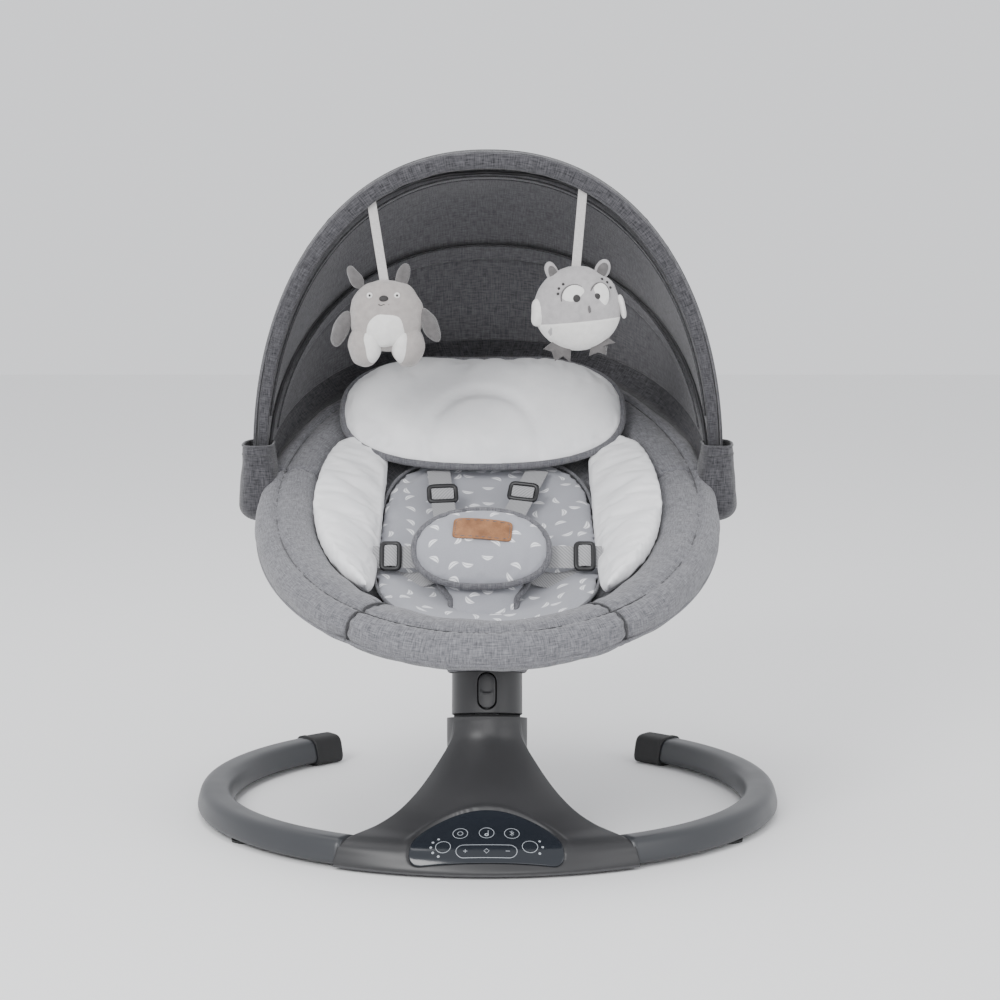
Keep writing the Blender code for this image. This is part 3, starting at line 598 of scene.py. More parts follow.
# The half moon is pressed in by 1.6 mm, and a soft brow stands over its arch.
depth_in = panel_edge(local[..., 0], local[..., 1])
on_front = local[..., 2] > -0.03
push = 0.0016 * np.clip((depth_in + 0.0004) / 0.0012, 0, 1)
brow = 0.0007 * np.exp(-(((depth_in + 0.0032) / 0.0022) ** 2)) * np.clip((local[..., 1] + 0.02) / 0.02, 0, 1)
local[..., 2] += np.where(on_front, brow - push, 0)
housing_grid = placed(PANEL, local)

# The rim turns in round the neck.
inner_rim = housing_grid[:1] * 1.0
inner_rim[..., :2] = (inner_rim[..., :2] - (0, axis_y)) * 0.94 + (0, axis_y)
inner_low = inner_rim - (0, 0, 0.004)
housing = skin("housing_shell", np.concatenate([inner_low, inner_rim, housing_grid]), (False, True),
               away_from=(0, axis_y, 0.03))
wall(housing, 0.002)
finished(housing, housing_plastic, "base", ["base_housing"])

# %% the touch panel
def half_moon(share, turn, lift):
    """The panel's face: polar rays from a point inside it, each as long as the half moon lets it be."""
    centre = (0.0, -0.012)
    reach = np.linspace(0.001, 0.11, 1100)
    x = centre[0] + np.cos(turn)[:, None] * reach
    y = centre[1] + np.sin(turn)[:, None] * reach
    last = reach[np.argmax(panel_edge(x, y) < 0.0009, axis=1)]
    x = centre[0] + np.cos(turn)[:, None] * last[:, None] * share
    y = centre[1] + np.sin(turn)[:, None] * last[:, None] * share
    return placed(PANEL, stack(x, y, panel_height(x, y) + lift))


turns = full_turn(240)
shares_out = np.concatenate([np.linspace(0.0, 0.985, 34), [0.995, 1.0, 1.0]])[None]
lift = np.concatenate([np.full(34, -0.0006), [-0.0007, -0.0011, -0.0022]])[None]
panel_face = skin("panel_face", half_moon(shares_out, turns, lift), (True, False), away_from=(0, axis_y, 0.0))
panel_gloss = moulded("panel_gloss", (0.012, 0.015, 0.020), 0.16, 900.0, 0.01)
finished(wall(panel_face, 0.0009), panel_gloss, "base", ["control_panel"])

# %% signs on the panel
sign_ink = moulded("sign_ink", (0.42, 0.45, 0.48), 0.4, 900.0, 0.02)


def band(name, x, y, closed=True, wide=0.0005):
    """A printed line along a flat curve on the panel: two edges, half its width to each side."""
    line = np.stack([x, y], -1)
    along = np.roll(line, -1, 0) - np.roll(line, 1, 0) if closed else np.gradient(line, axis=0)
    along /= np.linalg.norm(along, axis=1)[:, None] + 1e-12
    across = np.stack([-along[:, 1], along[:, 0]], -1) * wide / 2
    edges = np.stack([line - across, line, line + across], 1)
    lift = np.array([-0.00052, -0.00040, -0.00052])[None]
    points = placed(PANEL, stack(edges[..., 0], edges[..., 1],
                                 panel_height(edges[..., 0], edges[..., 1]) + lift))
    made = skin(name, points, (closed, False), away_from=(0, axis_y, 0.0))
    return finished(made, sign_ink, "base")


def circle(name, x, y, radius, start=0.0, end=2 * pi, wide=0.0005):
    """A printed circle, or an arc of one."""
    whole = end - start > 6.28
    turn = np.linspace(start, end, 48, endpoint=not whole)
    return band(name, x + radius * np.cos(turn), y + radius * np.sin(turn), whole, wide)


for name, x in (("sound", -0.0255), ("music", 0.0), ("link", 0.0245)):
    circle(f"sign_{name}", x, 0.0035, 0.0072)
circle("sign_sound_mark", -0.0255, 0.0035, 0.0026)
band("sign_music_stem", np.array([0.0015, 0.0015]), np.array([0.001, 0.007]), False)
circle("sign_music_head", 0.0, 0.0010, 0.0015, wide=0.001)
zigzag = np.array([(-0.002, 0.001), (0.002, 0.005), (0.0, 0.0072), (0.0, -0.0004), (0.002, 0.002),
                   (-0.002, 0.006)])
band("sign_link_mark", 0.0245 + zigzag[:, 0], 0.0002 + zigzag[:, 1], False)
circle("sign_dial_left", -0.0420, -0.0145, 0.0072)
circle("sign_dial_right", 0.0420, -0.0140, 0.0075)
for i in range(5):
    turn = radians(112 + 34 * i)
    circle(f"sign_left_dot_{i}", -0.0420 + 0.0118 * cos(turn), -0.0145 + 0.0118 * sin(turn), 0.0008,
           wide=0.0009)
for i in range(3):
    turn = radians(40 - 40 * i)
    circle(f"sign_right_dot_{i}", 0.0420 + 0.0122 * cos(turn), -0.0140 + 0.0122 * sin(turn), 0.0008,
           wide=0.0009)
pill_turn = np.concatenate([np.linspace(-pi / 2, pi / 2, 20), np.full(20, pi / 2),
                            np.linspace(pi / 2, 3 * pi / 2, 20), np.full(20, 3 * pi / 2)])
straight = np.linspace(0.0220, -0.0220, 22)[1:-1]
pill_side = np.concatenate([np.full(20, 0.0220), straight, np.full(20, -0.0220), straight[::-1]])
band("sign_pill", pill_side + 0.0075 * np.cos(pill_turn), -0.0205 + 0.0075 * np.sin(pill_turn))
band("sign_plus_flat", np.array([-0.0225, -0.0185]), np.array([-0.0205, -0.0205]), False)
band("sign_plus_tall", np.array([-0.0205, -0.0205]), np.array([-0.0225, -0.0185]), False)
band("sign_minus", np.array([0.0185, 0.0225]), np.array([-0.0205, -0.0205]), False)
band("sign_diamond", np.array([0, 0.0026, 0, -0.0026]), -0.0205 + np.array([0.0026, 0, -0.0026, 0]))

# %% [markdown]
# ## The neck
# The collar turns with the seat on the leaning swing axis, 3 mm above the housing's rim. Its profile is carried
# once round that axis.

# %% neck collar and release button
collar_radius, button_middle, button_straight = 0.0355, 0.0255, 0.0088


def turned_on_neck(name, profile, around=96):
    """A profile of (radius, height) carried round the swing axis."""
    profile = np.asarray(profile, float)
    turn = full_turn(around)
    points = stack(profile[:, :1] * np.sin(turn), -profile[:, :1] * np.cos(turn), profile[:, 1:2])
    return skin(name, placed(NECK, points), (False, True))


def button_window(x, height_on_neck):
    """How far inside the button's slot outline a point of the collar's front lies."""
    return 0.0092 - np.hypot(x, np.maximum(0, np.abs(height_on_neck - button_middle) - button_straight))


rise = np.concatenate([[0.0030, 0.0030, 0.0034], np.linspace(0.0042, 0.0450, 110), [0.0457, 0.0460, 0.0460]])
radius = np.concatenate([[0.0315, 0.0345, 0.0353], np.full(110, collar_radius), [0.0352, 0.0345, 0.0315]])
even = np.linspace(-1, 1, 300, endpoint=False)
turn = pi * curve_power(even, 1.7)
slot_in = button_window(collar_radius * turn[None], rise[:, None])
ledge = radius[:, None] - 0.0088 * np.clip((slot_in + 0.0007) / 0.0005, 0, 1)
collar = skin(
    "collar_shell",
    placed(NECK, stack(ledge * np.sin(turn), -ledge * np.cos(turn), rise[:, None])),
    (False, True), away_from=tuple(placed(NECK, np.array([0.0, 0, 0.0245]))),
)
finished(wall(collar, 0.0015), housing_plastic, "seat", ["neck_collar"])

u = full_turn(96)[None]
inward = np.linspace(0.97, 0.02, 22)
s = np.concatenate([[0.84, 0.90, 1.0], inward])[:, None]
proud = np.concatenate([[-0.0030, -0.0010, 0.0006], 0.0018 - 0.0008 * inward**6])[:, None]
bx = 0.0084 * s * np.cos(u)
bz = s * (0.0084 * np.sin(u) + button_straight * np.tanh(6 * np.sin(u)))
ridge = 0.0009 * np.exp(-(((bz + 0.0030 - 14 * bx**2) / 0.0011) ** 2))
front = collar_radius + proud + np.where(s < 0.93, ridge, 0)
button = skin(
    "button_cap",
    placed(NECK, stack(front * np.sin(bx / collar_radius), -front * np.cos(bx / collar_radius),
                       bz + button_middle)),
    (False, True), caps=True,
)
finished(button, housing_plastic, "release_button", ["release_button"])

# A dark ring in the gap between the housing's rim and the collar: painted shade, standing where the gap lies in
# shadow.
gap_shade_ring = turned_on_neck("neck_gap_ring", [(0.0300, -0.002), (0.0335, -0.002), (0.0335, 0.0024),
                                            (0.0300, 0.0024)])
finished(gap_shade_ring, rubber, "base")

# %% [markdown]
# ## The seat ring's padding
# A padded sleeve covers the oval tube in four lengths, sewn together at the hinges and at two seams near the
# foot. Its section is a soft oblong with a crease along the top, and piping runs round its outer side.

# %% waves for soft cloth
def ripple(points, size, seed=0):
    """Smooth unevenness between about -1 and 1: a sum of twelve plane waves in mixed directions."""
    draw = np.random.default_rng(seed)
    ways = draw.normal(size=(12, 3))
    ways *= (draw.uniform(0.7, 1.5, 12) * 2 * pi / size / np.linalg.norm(ways, axis=1))[:, None]
    return np.sin(points @ ways.T + draw.uniform(0, 2 * pi, 12)).sum(-1) / 4


def push_out(points, amount, axis=0):
    """Moves a closed grid's points away from the middle of their own row, by an array of amounts."""
    way = points - points.mean(axis=1 - axis, keepdims=True)
    return points + amount[..., None] * way / (np.linalg.norm(way, axis=-1, keepdims=True) + 1e-9)


# %% ring pad
def pad_section(count=72):
    """A soft oblong, 64 by 44 mm, with a crease 10 mm outside its middle along the top."""
    turn = full_turn(count)
    c, s = np.cos(turn), np.sin(turn)
    x = pad_wide / 2 * curve_power(c, 0.80)
    z = pad_high / 2 * curve_power(s, 0.88)
    crease = 0.0042 * np.exp(-(((x - crease_at) / 0.0042) ** 2)) * (s > 0)
    return x, z - crease


hinge_turn = np.arcsin((hinge_y - ring_centre[1]) / cos(ring_tilt) / (ring_long - pad_wide / 2))
corner = radians(57)
spans = {
    "ring_pad_head": (hinge_turn - 0.010, pi - hinge_turn + 0.010, 150),
    "ring_pad_left": (pi - hinge_turn + 0.010, pi + corner - 0.002, 110),
    "ring_pad_foot": (pi + corner + 0.002, 2 * pi - corner - 0.002, 120),
    "ring_pad_right": (2 * pi - corner + 0.002, 2 * pi + hinge_turn - 0.010, 110),
}
x, z = pad_section()
for seed, (name, (start, end, rows)) in enumerate(spans.items()):
    turn = np.linspace(start, end, rows)[:, None]
    length = abs(end - start) * 0.29
    from_end = np.minimum(turn - start, end - turn) * 0.29
    tuck = 1 - 0.10 * np.exp(-from_end / 0.004) - 0.04 * np.exp(-from_end / 0.016)
    points = on_ring(turn, x[None] * tuck, z[None] * tuck)
    folds = ripple(points, 0.055, seed + 3) * 0.0009
    on_crease = np.exp(-(((x[None] - crease_at) / 0.009) ** 2)) * (z[None] > 0)
    pucker = np.sin(turn * 175 + 3 * np.sin(turn * 31)) * on_crease
    gather = np.sin(np.arctan2(z, x)[None] * 13 + seed) * np.exp(-from_end / 0.014) * 0.0011
    points = push_out(points, folds + 0.0006 * pucker + gather)
    sleeve = skin(name + "_sleeve", points, (False, True), caps=True)
    finished(sleeve, ring_cloth, "seat", [name])

# %% piping and thread lines on the ring
for name, (start, end, rows) in spans.items():
    turn = np.linspace(start, end, 3 * rows)
    rope(name + "_piping", on_ring(turn, 0.0303, -0.0085), 0.0017, ring_cloth, "seat")
    rope(name + "_crease_seam", on_ring(turn, 0.0096, 0.0176), 0.0006, dark_piping, "seat", 6)
for name, turn in (("left", pi + corner), ("right", 2 * pi - corner)):
    loop = on_ring(np.full(72, turn), x * 0.93, z * 0.93)
    rope(f"{name}_foot_seam", loop, 0.0011, dark_piping, "seat", 8, closed=True)

label_turn = np.linspace(pi - 0.072, pi - 0.022, 16)[:, None]
label_drop = np.linspace(0.009, -0.006, 10)[None]
label_out = -pad_wide / 2 - 0.0006 + 0.0035 * (label_drop / 0.011) ** 2 * (label_drop > 0)
label = skin("side_label", on_ring(label_turn, label_out, label_drop),
             away_from=tuple(placed(SEAT, np.array([-0.2, 0, 0.0]))))
finished(wall(label, 0.0006, 1.0), black_label, "seat")

# %% [markdown]
# ## The hull below the ring
# One sheet of heathered cloth is sewn below the ring pad and gathered down to the neck. It sags a little between
# the two, and the gathers get tighter towards the neck.

# %% hull
share = np.linspace(0, 1, 90)[:, None]
turn = full_turn(260)[None]
top = on_ring(turn, 0.0268, -0.0090)
low = placed(NECK, stack(0.0385 * np.cos(turn), 0.0385 * np.sin(turn), 0.0468))
hull = top + (low - top) * share[..., None]
bow = np.sin(pi * share)
hull[..., 2] -= 0.004 * bow
hull[..., 0] += 0.009 * bow * np.cos(turn)
hull[..., 1] += 0.009 * bow * np.sin(turn)
gathers = np.sin(18 * turn + 2.2 * np.sin(3 * turn)) * share**1.6 * 0.0022 * (1 - share**9)
drape = ripple(hull, 0.16, 11) * 0.0035 * bow
hull += (gathers + drape)[..., None] * stack(np.cos(turn), np.sin(turn), -0.3)
hull_piece = skin("hull_cloth", hull, (False, True), away_from=(0, axis_y + 0.18, 0.3))
wall(hull_piece, 0.0016)
finished(hull_piece, hull_cloth, "seat", ["seat_hull"])
cuff = [(0.0385, 0.0455), (0.0398, 0.0463), (0.0402, 0.0480), (0.0396, 0.0500), (0.0385, 0.0510)]
cuff_piece = turned_on_neck("hull_cuff", cuff + [(r - 0.0025, h) for r, h in reversed(cuff)])
finished(cuff_piece, ring_cloth, "seat")

# %% sling
sling_half_wide, sling_half_long = 0.181, 0.291
share = np.linspace(0.0, 1.0, 70)[:, None]
turn = full_turn(200)[None]
sling = sling_space(share * sling_half_wide * np.cos(turn), share * sling_half_long * np.sin(turn), 0.0)
sling[..., 2] += ripple(sling, 0.11, 5) * 0.0011 * share * (1 - share) * 4
sling_piece = skin("sling_cloth", sling, (False, True), away_from=(0, axis_y + 0.2, 1.3))
sling_piece.data.flip_normals()
wall(sling_piece, 0.0016)
finished(sling_piece, hull_cloth, "seat", ["seat_sling"])

# %% [markdown]
# ## Stuffed pieces
# The liner's pads, the pillow and the belly pad are two cloths sewn round their edge with filling between them.
# Each starts as a lens shape. A short cloth simulation with air pressure then fills it out: its seam is held
# still, and a little spare cloth makes the small puckers that real stuffing gives.

# %% lens shapes and filling
def squarer(x, y, power=0.62):
    """Moves points of the unit disc outwards to a rounded square, along their own direction."""
    reach = np.hypot(x, y)
    angle = np.arctan2(y, x)
    c, s = np.cos(angle), np.sin(angle)
    grown = reach / (np.abs(c) ** (2 / power) + np.abs(s) ** (2 / power)) ** (power / 2)
    return grown * c, grown * s


def lens(name, shape, full=0.62, edge=3.2, columns=120, rows=34):
    """Two domes z = (1 - r^edge)^full over the unit disc, sent through a shape function of (x, y, z)."""
    reach = np.sin(np.linspace(0, pi / 2, rows))
    reach = np.concatenate([reach, reach[-2::-1]])[:, None]
    sign = np.concatenate([np.ones(rows), -np.ones(rows - 1)])[:, None]
    z = sign * (1 - np.minimum(1, reach) ** edge) ** full
    turn = full_turn(columns)[None]
    x, y = reach * np.cos(turn), reach * np.sin(turn)
    return skin(name, shape(x, y, np.broadcast_to(z, x.shape)), (False, True))


def rim_of(shape, count=180, z=0.0):
    """The seam of a lens: the unit circle sent through its shape function."""
    turn = full_turn(count)
    return shape(np.cos(turn), np.sin(turn), np.full(count, z))


def stuff(made, seam, pressure=4.0, voxel=0.005, spare=0.03, most=0.004, steps=20):
    """Fills a closed piece: it is remeshed, its seam held, and air pressure presses from inside."""
    remesh = made.modifiers.new("even", "REMESH")
    remesh.mode = "VOXEL"
    remesh.voxel_size = voxel
    bpy.context.view_layer.objects.active = made
    with bpy.context.temp_override(object=made, active_object=made):
        bpy.ops.object.modifier_apply(modifier="even")
    mesh = made.data
    before = np.empty(len(mesh.vertices) * 3, np.float32)
    mesh.vertices.foreach_get("co", before)
    before = before.reshape(-1, 3)
    gap = np.sqrt(((before[:, None] - seam[None, ::2]) ** 2).sum(-1)).min(1)
    held = made.vertex_groups.new(name="seam")
    held.add(np.flatnonzero(gap < voxel * 1.3).tolist(), 1.0, "REPLACE")
    cloth = made.modifiers.new("filling", "CLOTH")
    cloth.settings.quality = 6
    cloth.settings.mass = 0.2
    cloth.settings.vertex_group_mass = "seam"
    cloth.settings.use_pressure = True
    cloth.settings.uniform_pressure_force = pressure
    cloth.settings.shrink_min = -spare
    cloth.settings.tension_stiffness = 12
    cloth.settings.compression_stiffness = 10
    cloth.settings.bending_stiffness = 0.3
    cloth.settings.effector_weights.gravity = 0
    cloth.point_cache.frame_start, cloth.point_cache.frame_end = 1, steps
    for frame_number in range(1, steps + 1):
        bpy.context.scene.frame_set(frame_number)
    after_mesh = made.evaluated_get(bpy.context.evaluated_depsgraph_get()).to_mesh()
    after = np.empty(len(before) * 3, np.float32)
    after_mesh.vertices.foreach_get("co", after)
    made.evaluated_get(bpy.context.evaluated_depsgraph_get()).to_mesh_clear()
    move = after.reshape(-1, 3) - before
    size = np.linalg.norm(move, axis=1, keepdims=True) + 1e-9
    move *= np.minimum(1, most * np.tanh(size / most) / size)
    made.modifiers.remove(cloth)
    bpy.context.scene.frame_set(1)
    mesh.vertices.foreach_set("co", (before + move).astype(np.float32).ravel())
    print(made.name, len(before), "points, moved up to", round(float(size.max()) * 1000, 1), "mm")
    mesh.update()
    mesh.shade_smooth()
    return smoothed(made)


def pad(name, shape, material, node, slot, fill, full, edge=3.2, **how):
    """A stuffed piece: its lens is filled and given its material, its body and the plain solid that it stands
    for.
    """
    made = stuff(lens(name, shape, full, edge), rim_of(shape), **how)
    finished(made, material, "seat", [node])


# %% bolsters, centre panel and pillow
def bolster_shape(side):
    """A long crescent between the centre panel and the ring, thicker towards its middle."""

    def shape(x, y, z):
        v = -0.030 + 0.192 * y
        wide = np.sqrt(np.maximum(1e-6, 1 - y * y))
        across = np.clip(x / wide, -1, 1)
        outer = 0.184 * np.sqrt(1 - (v / 0.296) ** 2)
        inner = 0.1120 - 0.004 * y
        u = (inner + outer) / 2 + (outer - inner) / 2 * np.minimum(1, wide * 1.6) * across
        return sling_space(side * u, v, 0.003 + 0.0165 * (z + 1))

    return shape


def centre_shape(x, y, z):
    """The long printed panel on which the baby lies, a little narrower than the bolsters' inner edges."""
    x, y = squarer(x, y)
    return sling_space((0.116 - 0.004 * y) * x, -0.040 + 0.188 * y, 0.003 + 0.0080 * (z + 1))


PILLOW = slanted((-0.006, axis_y + 0.350, 0.3995), radians(36))


def pillow_shape(x, y, z):
    """The head pillow: a bean with a hollow in the middle of its upper side's lower part."""
    x, y = squarer(x, y, 0.8)
    dip = 0.006 * np.maximum(0, 1 - (x / 0.45) ** 2) * np.maximum(0, y)
    hollow = 0.30 * np.exp(-((x / 0.40) ** 2) - ((y + 0.45) / 0.75) ** 2) * (z > 0)
    from_arch = (np.hypot(0.155 * x / 0.0625, (0.091 * y + 0.078) / 0.088) - 1) * 0.07
    groove = 0.0062 * np.exp(-((from_arch / 0.0055) ** 2)) * (z > 0)
    return placed(PILLOW, stack(0.155 * x, 0.091 * y - dip, 0.022 * z * (1 - hollow) - groove))


print_cloth = leaf_print("print_cloth", radians(12))
belly_cloth = leaf_print("belly_cloth", radians(50), cell=0.0210)
for side, word in ((-1, "left"), (1, "right")):
    pad(f"{word}_bolster_pad", bolster_shape(side), white_cloth, f"{word}_bolster", "white_fabric", 0.8, 0.55,
        most=0.0035, spare=0.05)
pad("centre_pad", centre_shape, print_cloth, "centre_panel", "print_fabric", 0.6, 0.45, 5, most=0.003,
    spare=0.04)
pad("pillow_pad", pillow_shape, pillow_cloth, "head_pillow", "white_fabric", 0.8, 0.55, most=0.005,
    spare=0.05)
rope("pillow_piping", rim_of(pillow_shape), 0.0040, piping_cloth, "seat", closed=True)
rope("centre_piping", rim_of(centre_shape, z=0.4), 0.0017, piping_cloth, "seat", closed=True)

# %% [markdown]
# ## The harness
# Webbing comes out from under the pillow and from the sides, through sliding adjusters, to a padded belly piece.
# A crotch piece joins that to the seat. The adjusters slide along the straps.

# %% straps
def strap_frame(start, end, face):
    """A frame whose second axis runs along a strap and whose third is its face; its origin is halfway."""
    start, end = (np.array([p[0], axis_y + p[1], p[2]]) for p in (start, end))
    along = (end - start) / np.linalg.norm(end - start)
    across = np.cross(along, face)
    across /= np.linalg.norm(across)
    frame_matrix = np.eye(4)
    frame_matrix[:3, 0], frame_matrix[:3, 1] = across, along
    frame_matrix[:3, 2], frame_matrix[:3, 3] = np.cross(across, along), (start + end) / 2
    return frame_matrix, float(np.linalg.norm(end - start))


def webbing_strip(name, place, half, body, lift=None, wide=0.0125, thick=0.0008, cloth=None):
    """A flat band with rounded edges along the second axis, lifted off its plane by a function of length."""
    along = np.linspace(-half, half, 90)[:, None]
    turn = full_turn(28)[None]
    c, s = np.cos(turn), np.sin(turn)
    across = wide * curve_power(c, 0.25)
    rise = thick * curve_power(s, 0.6) + (0 if lift is None else lift(along))
    made = skin(name, placed(place, stack(across, along, rise)), (False, True), caps=True)
    return finished(made, cloth or webbing, body)


def slide_buckle(name, place, body, node):
    """A strap slider: a rounded frame about 34 by 23 mm, a bar between its two slots and a turned-up lip."""
    turn = full_turn(96)
    c, s = np.cos(turn), np.sin(turn)
    outline_x = 0.0142 * curve_power(c, 0.30)
    outline_y = 0.0090 * curve_power(s, 0.36)
    bent = 0.0012 + 0.0008 * (outline_y / 0.0090) ** 2
    frame_piece = rope(name + "_frame", placed(place, stack(outline_x, outline_y, bent)), 0.0027,
                       buckle_plastic, body, 14, True)
    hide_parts(node)
    x = np.linspace(-0.0135, 0.0135, 30)
    rope(name + "_bar", placed(place, stack(x, 0.0, 0.0012 + 0 * x)), 0.0016, buckle_plastic, body, 12)
    over = np.linspace(-0.0085, 0.0085, 30)[:, None]
    turn = full_turn(24)[None]
    c, s = np.cos(turn), np.sin(turn)
    across = 0.0118 * curve_power(c, 0.25)
    rise = 0.0040 * np.cos(over / 0.0085 * pi / 2) ** 0.6 + 0.0007 * curve_power(s, 0.6)
    loop = skin(name + "_loop", placed(place, stack(across, over, rise)), (False, True), caps=True)
    finished(loop, webbing, body)


waist_face = (0, -sin(radians(58)), cos(radians(58)))
straps = {
    "left_shoulder": ((-0.0400, 0.122, 0.2845), (-0.0540, 0.283, 0.3405), (0, -0.34, 0.94), 0.018),
    "right_shoulder": ((0.0130, 0.128, 0.2865), (0.0535, 0.283, 0.3405), (0, -0.34, 0.94), 0.020),
    "left_waist": ((-0.0375, 0.0995, 0.2735), (-0.1185, 0.0995, 0.2735), waist_face, 0.022),
    "right_waist": ((0.0265, 0.0995, 0.2735), (0.1185, 0.0995, 0.2735), waist_face, 0.028),
}
for name, (start, end, face, along) in straps.items():
    place, length = strap_frame(start, end, face)
    strip = webbing_strip(name + "_webbing", place, length / 2, "seat")
    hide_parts(name + "_strap")
    lift, tip = (0.0050, radians(38)) if "shoulder" in name else (0.0010, 0.0)
    slider = place @ slanted((0, along, lift), tip)
    slide_buckle(name + "_slider", slider, name + "_adjuster", name + "_adjuster")
    if "waist" in name:
        side = -1 if "left" in name else 1
        along = np.linspace(0, 1, 40)[:, None]
        across = np.linspace(-0.011, 0.011, 8)[None]
        x = -0.0055 + side * (0.048 + 0.062 * along)
        back = 0.0935 + 0.010 * along + across * 0.62 - 0.004 * np.sin(pi * along)
        rise = 0.2560 + 0.003 * along + across * 0.66 - 0.008 * np.sin(pi * along)
        strip = skin(name + "_tail", stack(x, axis_y + back, rise))
        finished(wall(strip, 0.0014, 0.0), webbing, "seat")

# %% belly pad, crotch pad and leather tag
BELLY = slanted((-0.006, axis_y + 0.085, 0.285), radians(50))
CROTCH = slanted((-0.004, axis_y + 0.0665, 0.2375), radians(49))


def belly_shape(x, y, z):
    """An oval pad, 139 by 92 mm, bent a little round the baby."""
    x, y = squarer(x, y, 0.9)
    return placed(BELLY, stack(0.0695 * x, 0.046 * y, 0.011 * z - 0.004 * x * x))


def crotch_shape(x, y, z):
    """A short pad that widens upwards, between the legs."""
    x, y = squarer(x, y, 0.6)
    wide = 0.0335 + 0.030 * np.clip(y - 0.05, 0, 1) ** 1.3
    drop = 0.006 * np.clip(-y, 0, 1) ** 2
    return placed(CROTCH, stack(wide * x, 0.032 * y - 0.006, 0.0055 * z - drop))


pad("belly_cushion", belly_shape, belly_cloth, "belly_pad", "print_fabric", 0.7, 0.6,
    most=0.0022, voxel=0.004, spare=0.04)
rope("belly_piping", rim_of(belly_shape), 0.0036, piping_cloth, "seat", closed=True)
pad("crotch_cushion", crotch_shape, belly_cloth, "crotch_pad", "print_fabric", 0.6, 0.6,
    most=0.002, voxel=0.004, spare=0.03)
rope("crotch_piping", rim_of(crotch_shape), 0.0032, piping_cloth, "seat", closed=True)

TAG = BELLY @ slanted((0.001, 0.014, 0.0146), radians(-5), "Z")
reach = np.concatenate([[0.0, 0.9, 0.97, 1.0, 1.0, 0.97, 0.9, 0.0]])[:, None]
rise = np.array([0.0014, 0.0014, 0.00125, 0.0009, 0.0002, 0.0, 0.0, 0.0])[:, None]
turn = full_turn(120)[None]
x, y = squarer(reach * np.cos(turn), reach * np.sin(turn), 0.24)
tag = skin("leather_tag", placed(TAG, stack(0.0305 * x, 0.0122 * y, rise - 0.0028 * x * x)), (False, True))
finished(tag, leather, "seat")
stitch_turn = full_turn(56)
sx, sy = squarer(np.cos(stitch_turn), np.sin(stitch_turn), 0.24)
for i in range(0, 56, 2):
    pair = np.array([i, i + 1])
    rope(f"tag_stitch_{i:02d}", placed(TAG, stack(0.0280 * sx[pair], 0.0098 * sy[pair],
                                                  0.0015 - 0.0024 * sx[pair] ** 2)),
         0.00035, piping_cloth, "seat", 6)

# %% [markdown]
# ## The canopy
# Three strips of cloth, sewn together, lie over three bows that share a hinge on each side. An arch is
# |x/half|^p + |up/height|^p = 1, turned about the hinge line. The cloth is tight over the bows and dips a little
# between them.

# %% canopy surface
bow_power = 2.2
front_half, front_high = 0.2481, 0.3405
foot_share, inner_foot_share = 0.012, 0.05
arch_table = np.array(
    [  # angle from upright, half width, height, then how far the cloth stands off there
        (-7.0, 0.2481, 0.3405, 0.0036), (-6.0, 0.2481, 0.3408, 0.0044), (-4.5, 0.2481, 0.3410, 0.0050),
        (-2.0, 0.2476, 0.3395, 0.0042), (3.0, 0.2456, 0.3315, 0.0040), (8.0, 0.2432, 0.3245, 0.0048),
        (10.0, 0.2428, 0.3240, 0.0052), (12.0, 0.2426, 0.3235, 0.0046), (19.0, 0.2412, 0.3205, 0.0026),
        (27.0, 0.2398, 0.3170, 0.0018), (35.0, 0.2384, 0.3135, 0.0028), (41.0, 0.2376, 0.3112, 0.0048),
        (43.0, 0.2375, 0.3106, 0.0050), (48.0, 0.2375, 0.3070, 0.0034), (57.0, 0.2375, 0.2995, 0.0030),
        (66.0, 0.2375, 0.2925, 0.0034),
    ]
)


def arch_points(angle, half, high, share, out=0.0):
    """A point on an arch: share runs from one foot to the other; out moves it square to the arch."""
    turn = pi * (1 - share)
    c, s = np.cos(turn), np.sin(turn)
    x = half * curve_power(c, 2 / bow_power)
    up = high * np.abs(s) ** (2 / bow_power)
    nx = np.sign(x) * np.abs(x / half) ** (bow_power - 1) / half
    nu = np.abs(up / high) ** (bow_power - 1) / high
    size = np.hypot(nx, nu) + 1e-12
    x, up = x + out * nx / size, up + out * nu / size
    return stack(x, hinge_y + up * np.sin(angle), hinge_z + up * np.cos(angle))


def canopy_grid(first, last, rows, low_share, columns, extra=0.0):
    """Rows of arches between two angles, read from the table; the feet stop at low_share."""
    table = spline(arch_table, 400)
    angle = np.linspace(first, last, rows)
    half, high, off = (np.interp(angle, table[:, 0], table[:, k]) for k in (1, 2, 3))
    share = np.linspace(low_share, 1 - low_share, columns)[None]
    turned = np.radians(angle)[:, None]
    return arch_points(turned, half[:, None], high[:, None], share, off[:, None] + extra), angle, share


def ride_canopy(made, rear_angle, front_angle):
    """Bakes the cloth's place into its mesh and reads its points back into an array."""
    weight_from, weight_to = np.radians(rear_angle), np.radians(front_angle)
    middle = (weight_from + weight_to) / 2
    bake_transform(made)
    count = len(made.data.vertices)
    co = np.empty(count * 3, np.float32)
    made.data.vertices.foreach_get("co", co)
    co = co.reshape(-1, 3).astype(float)


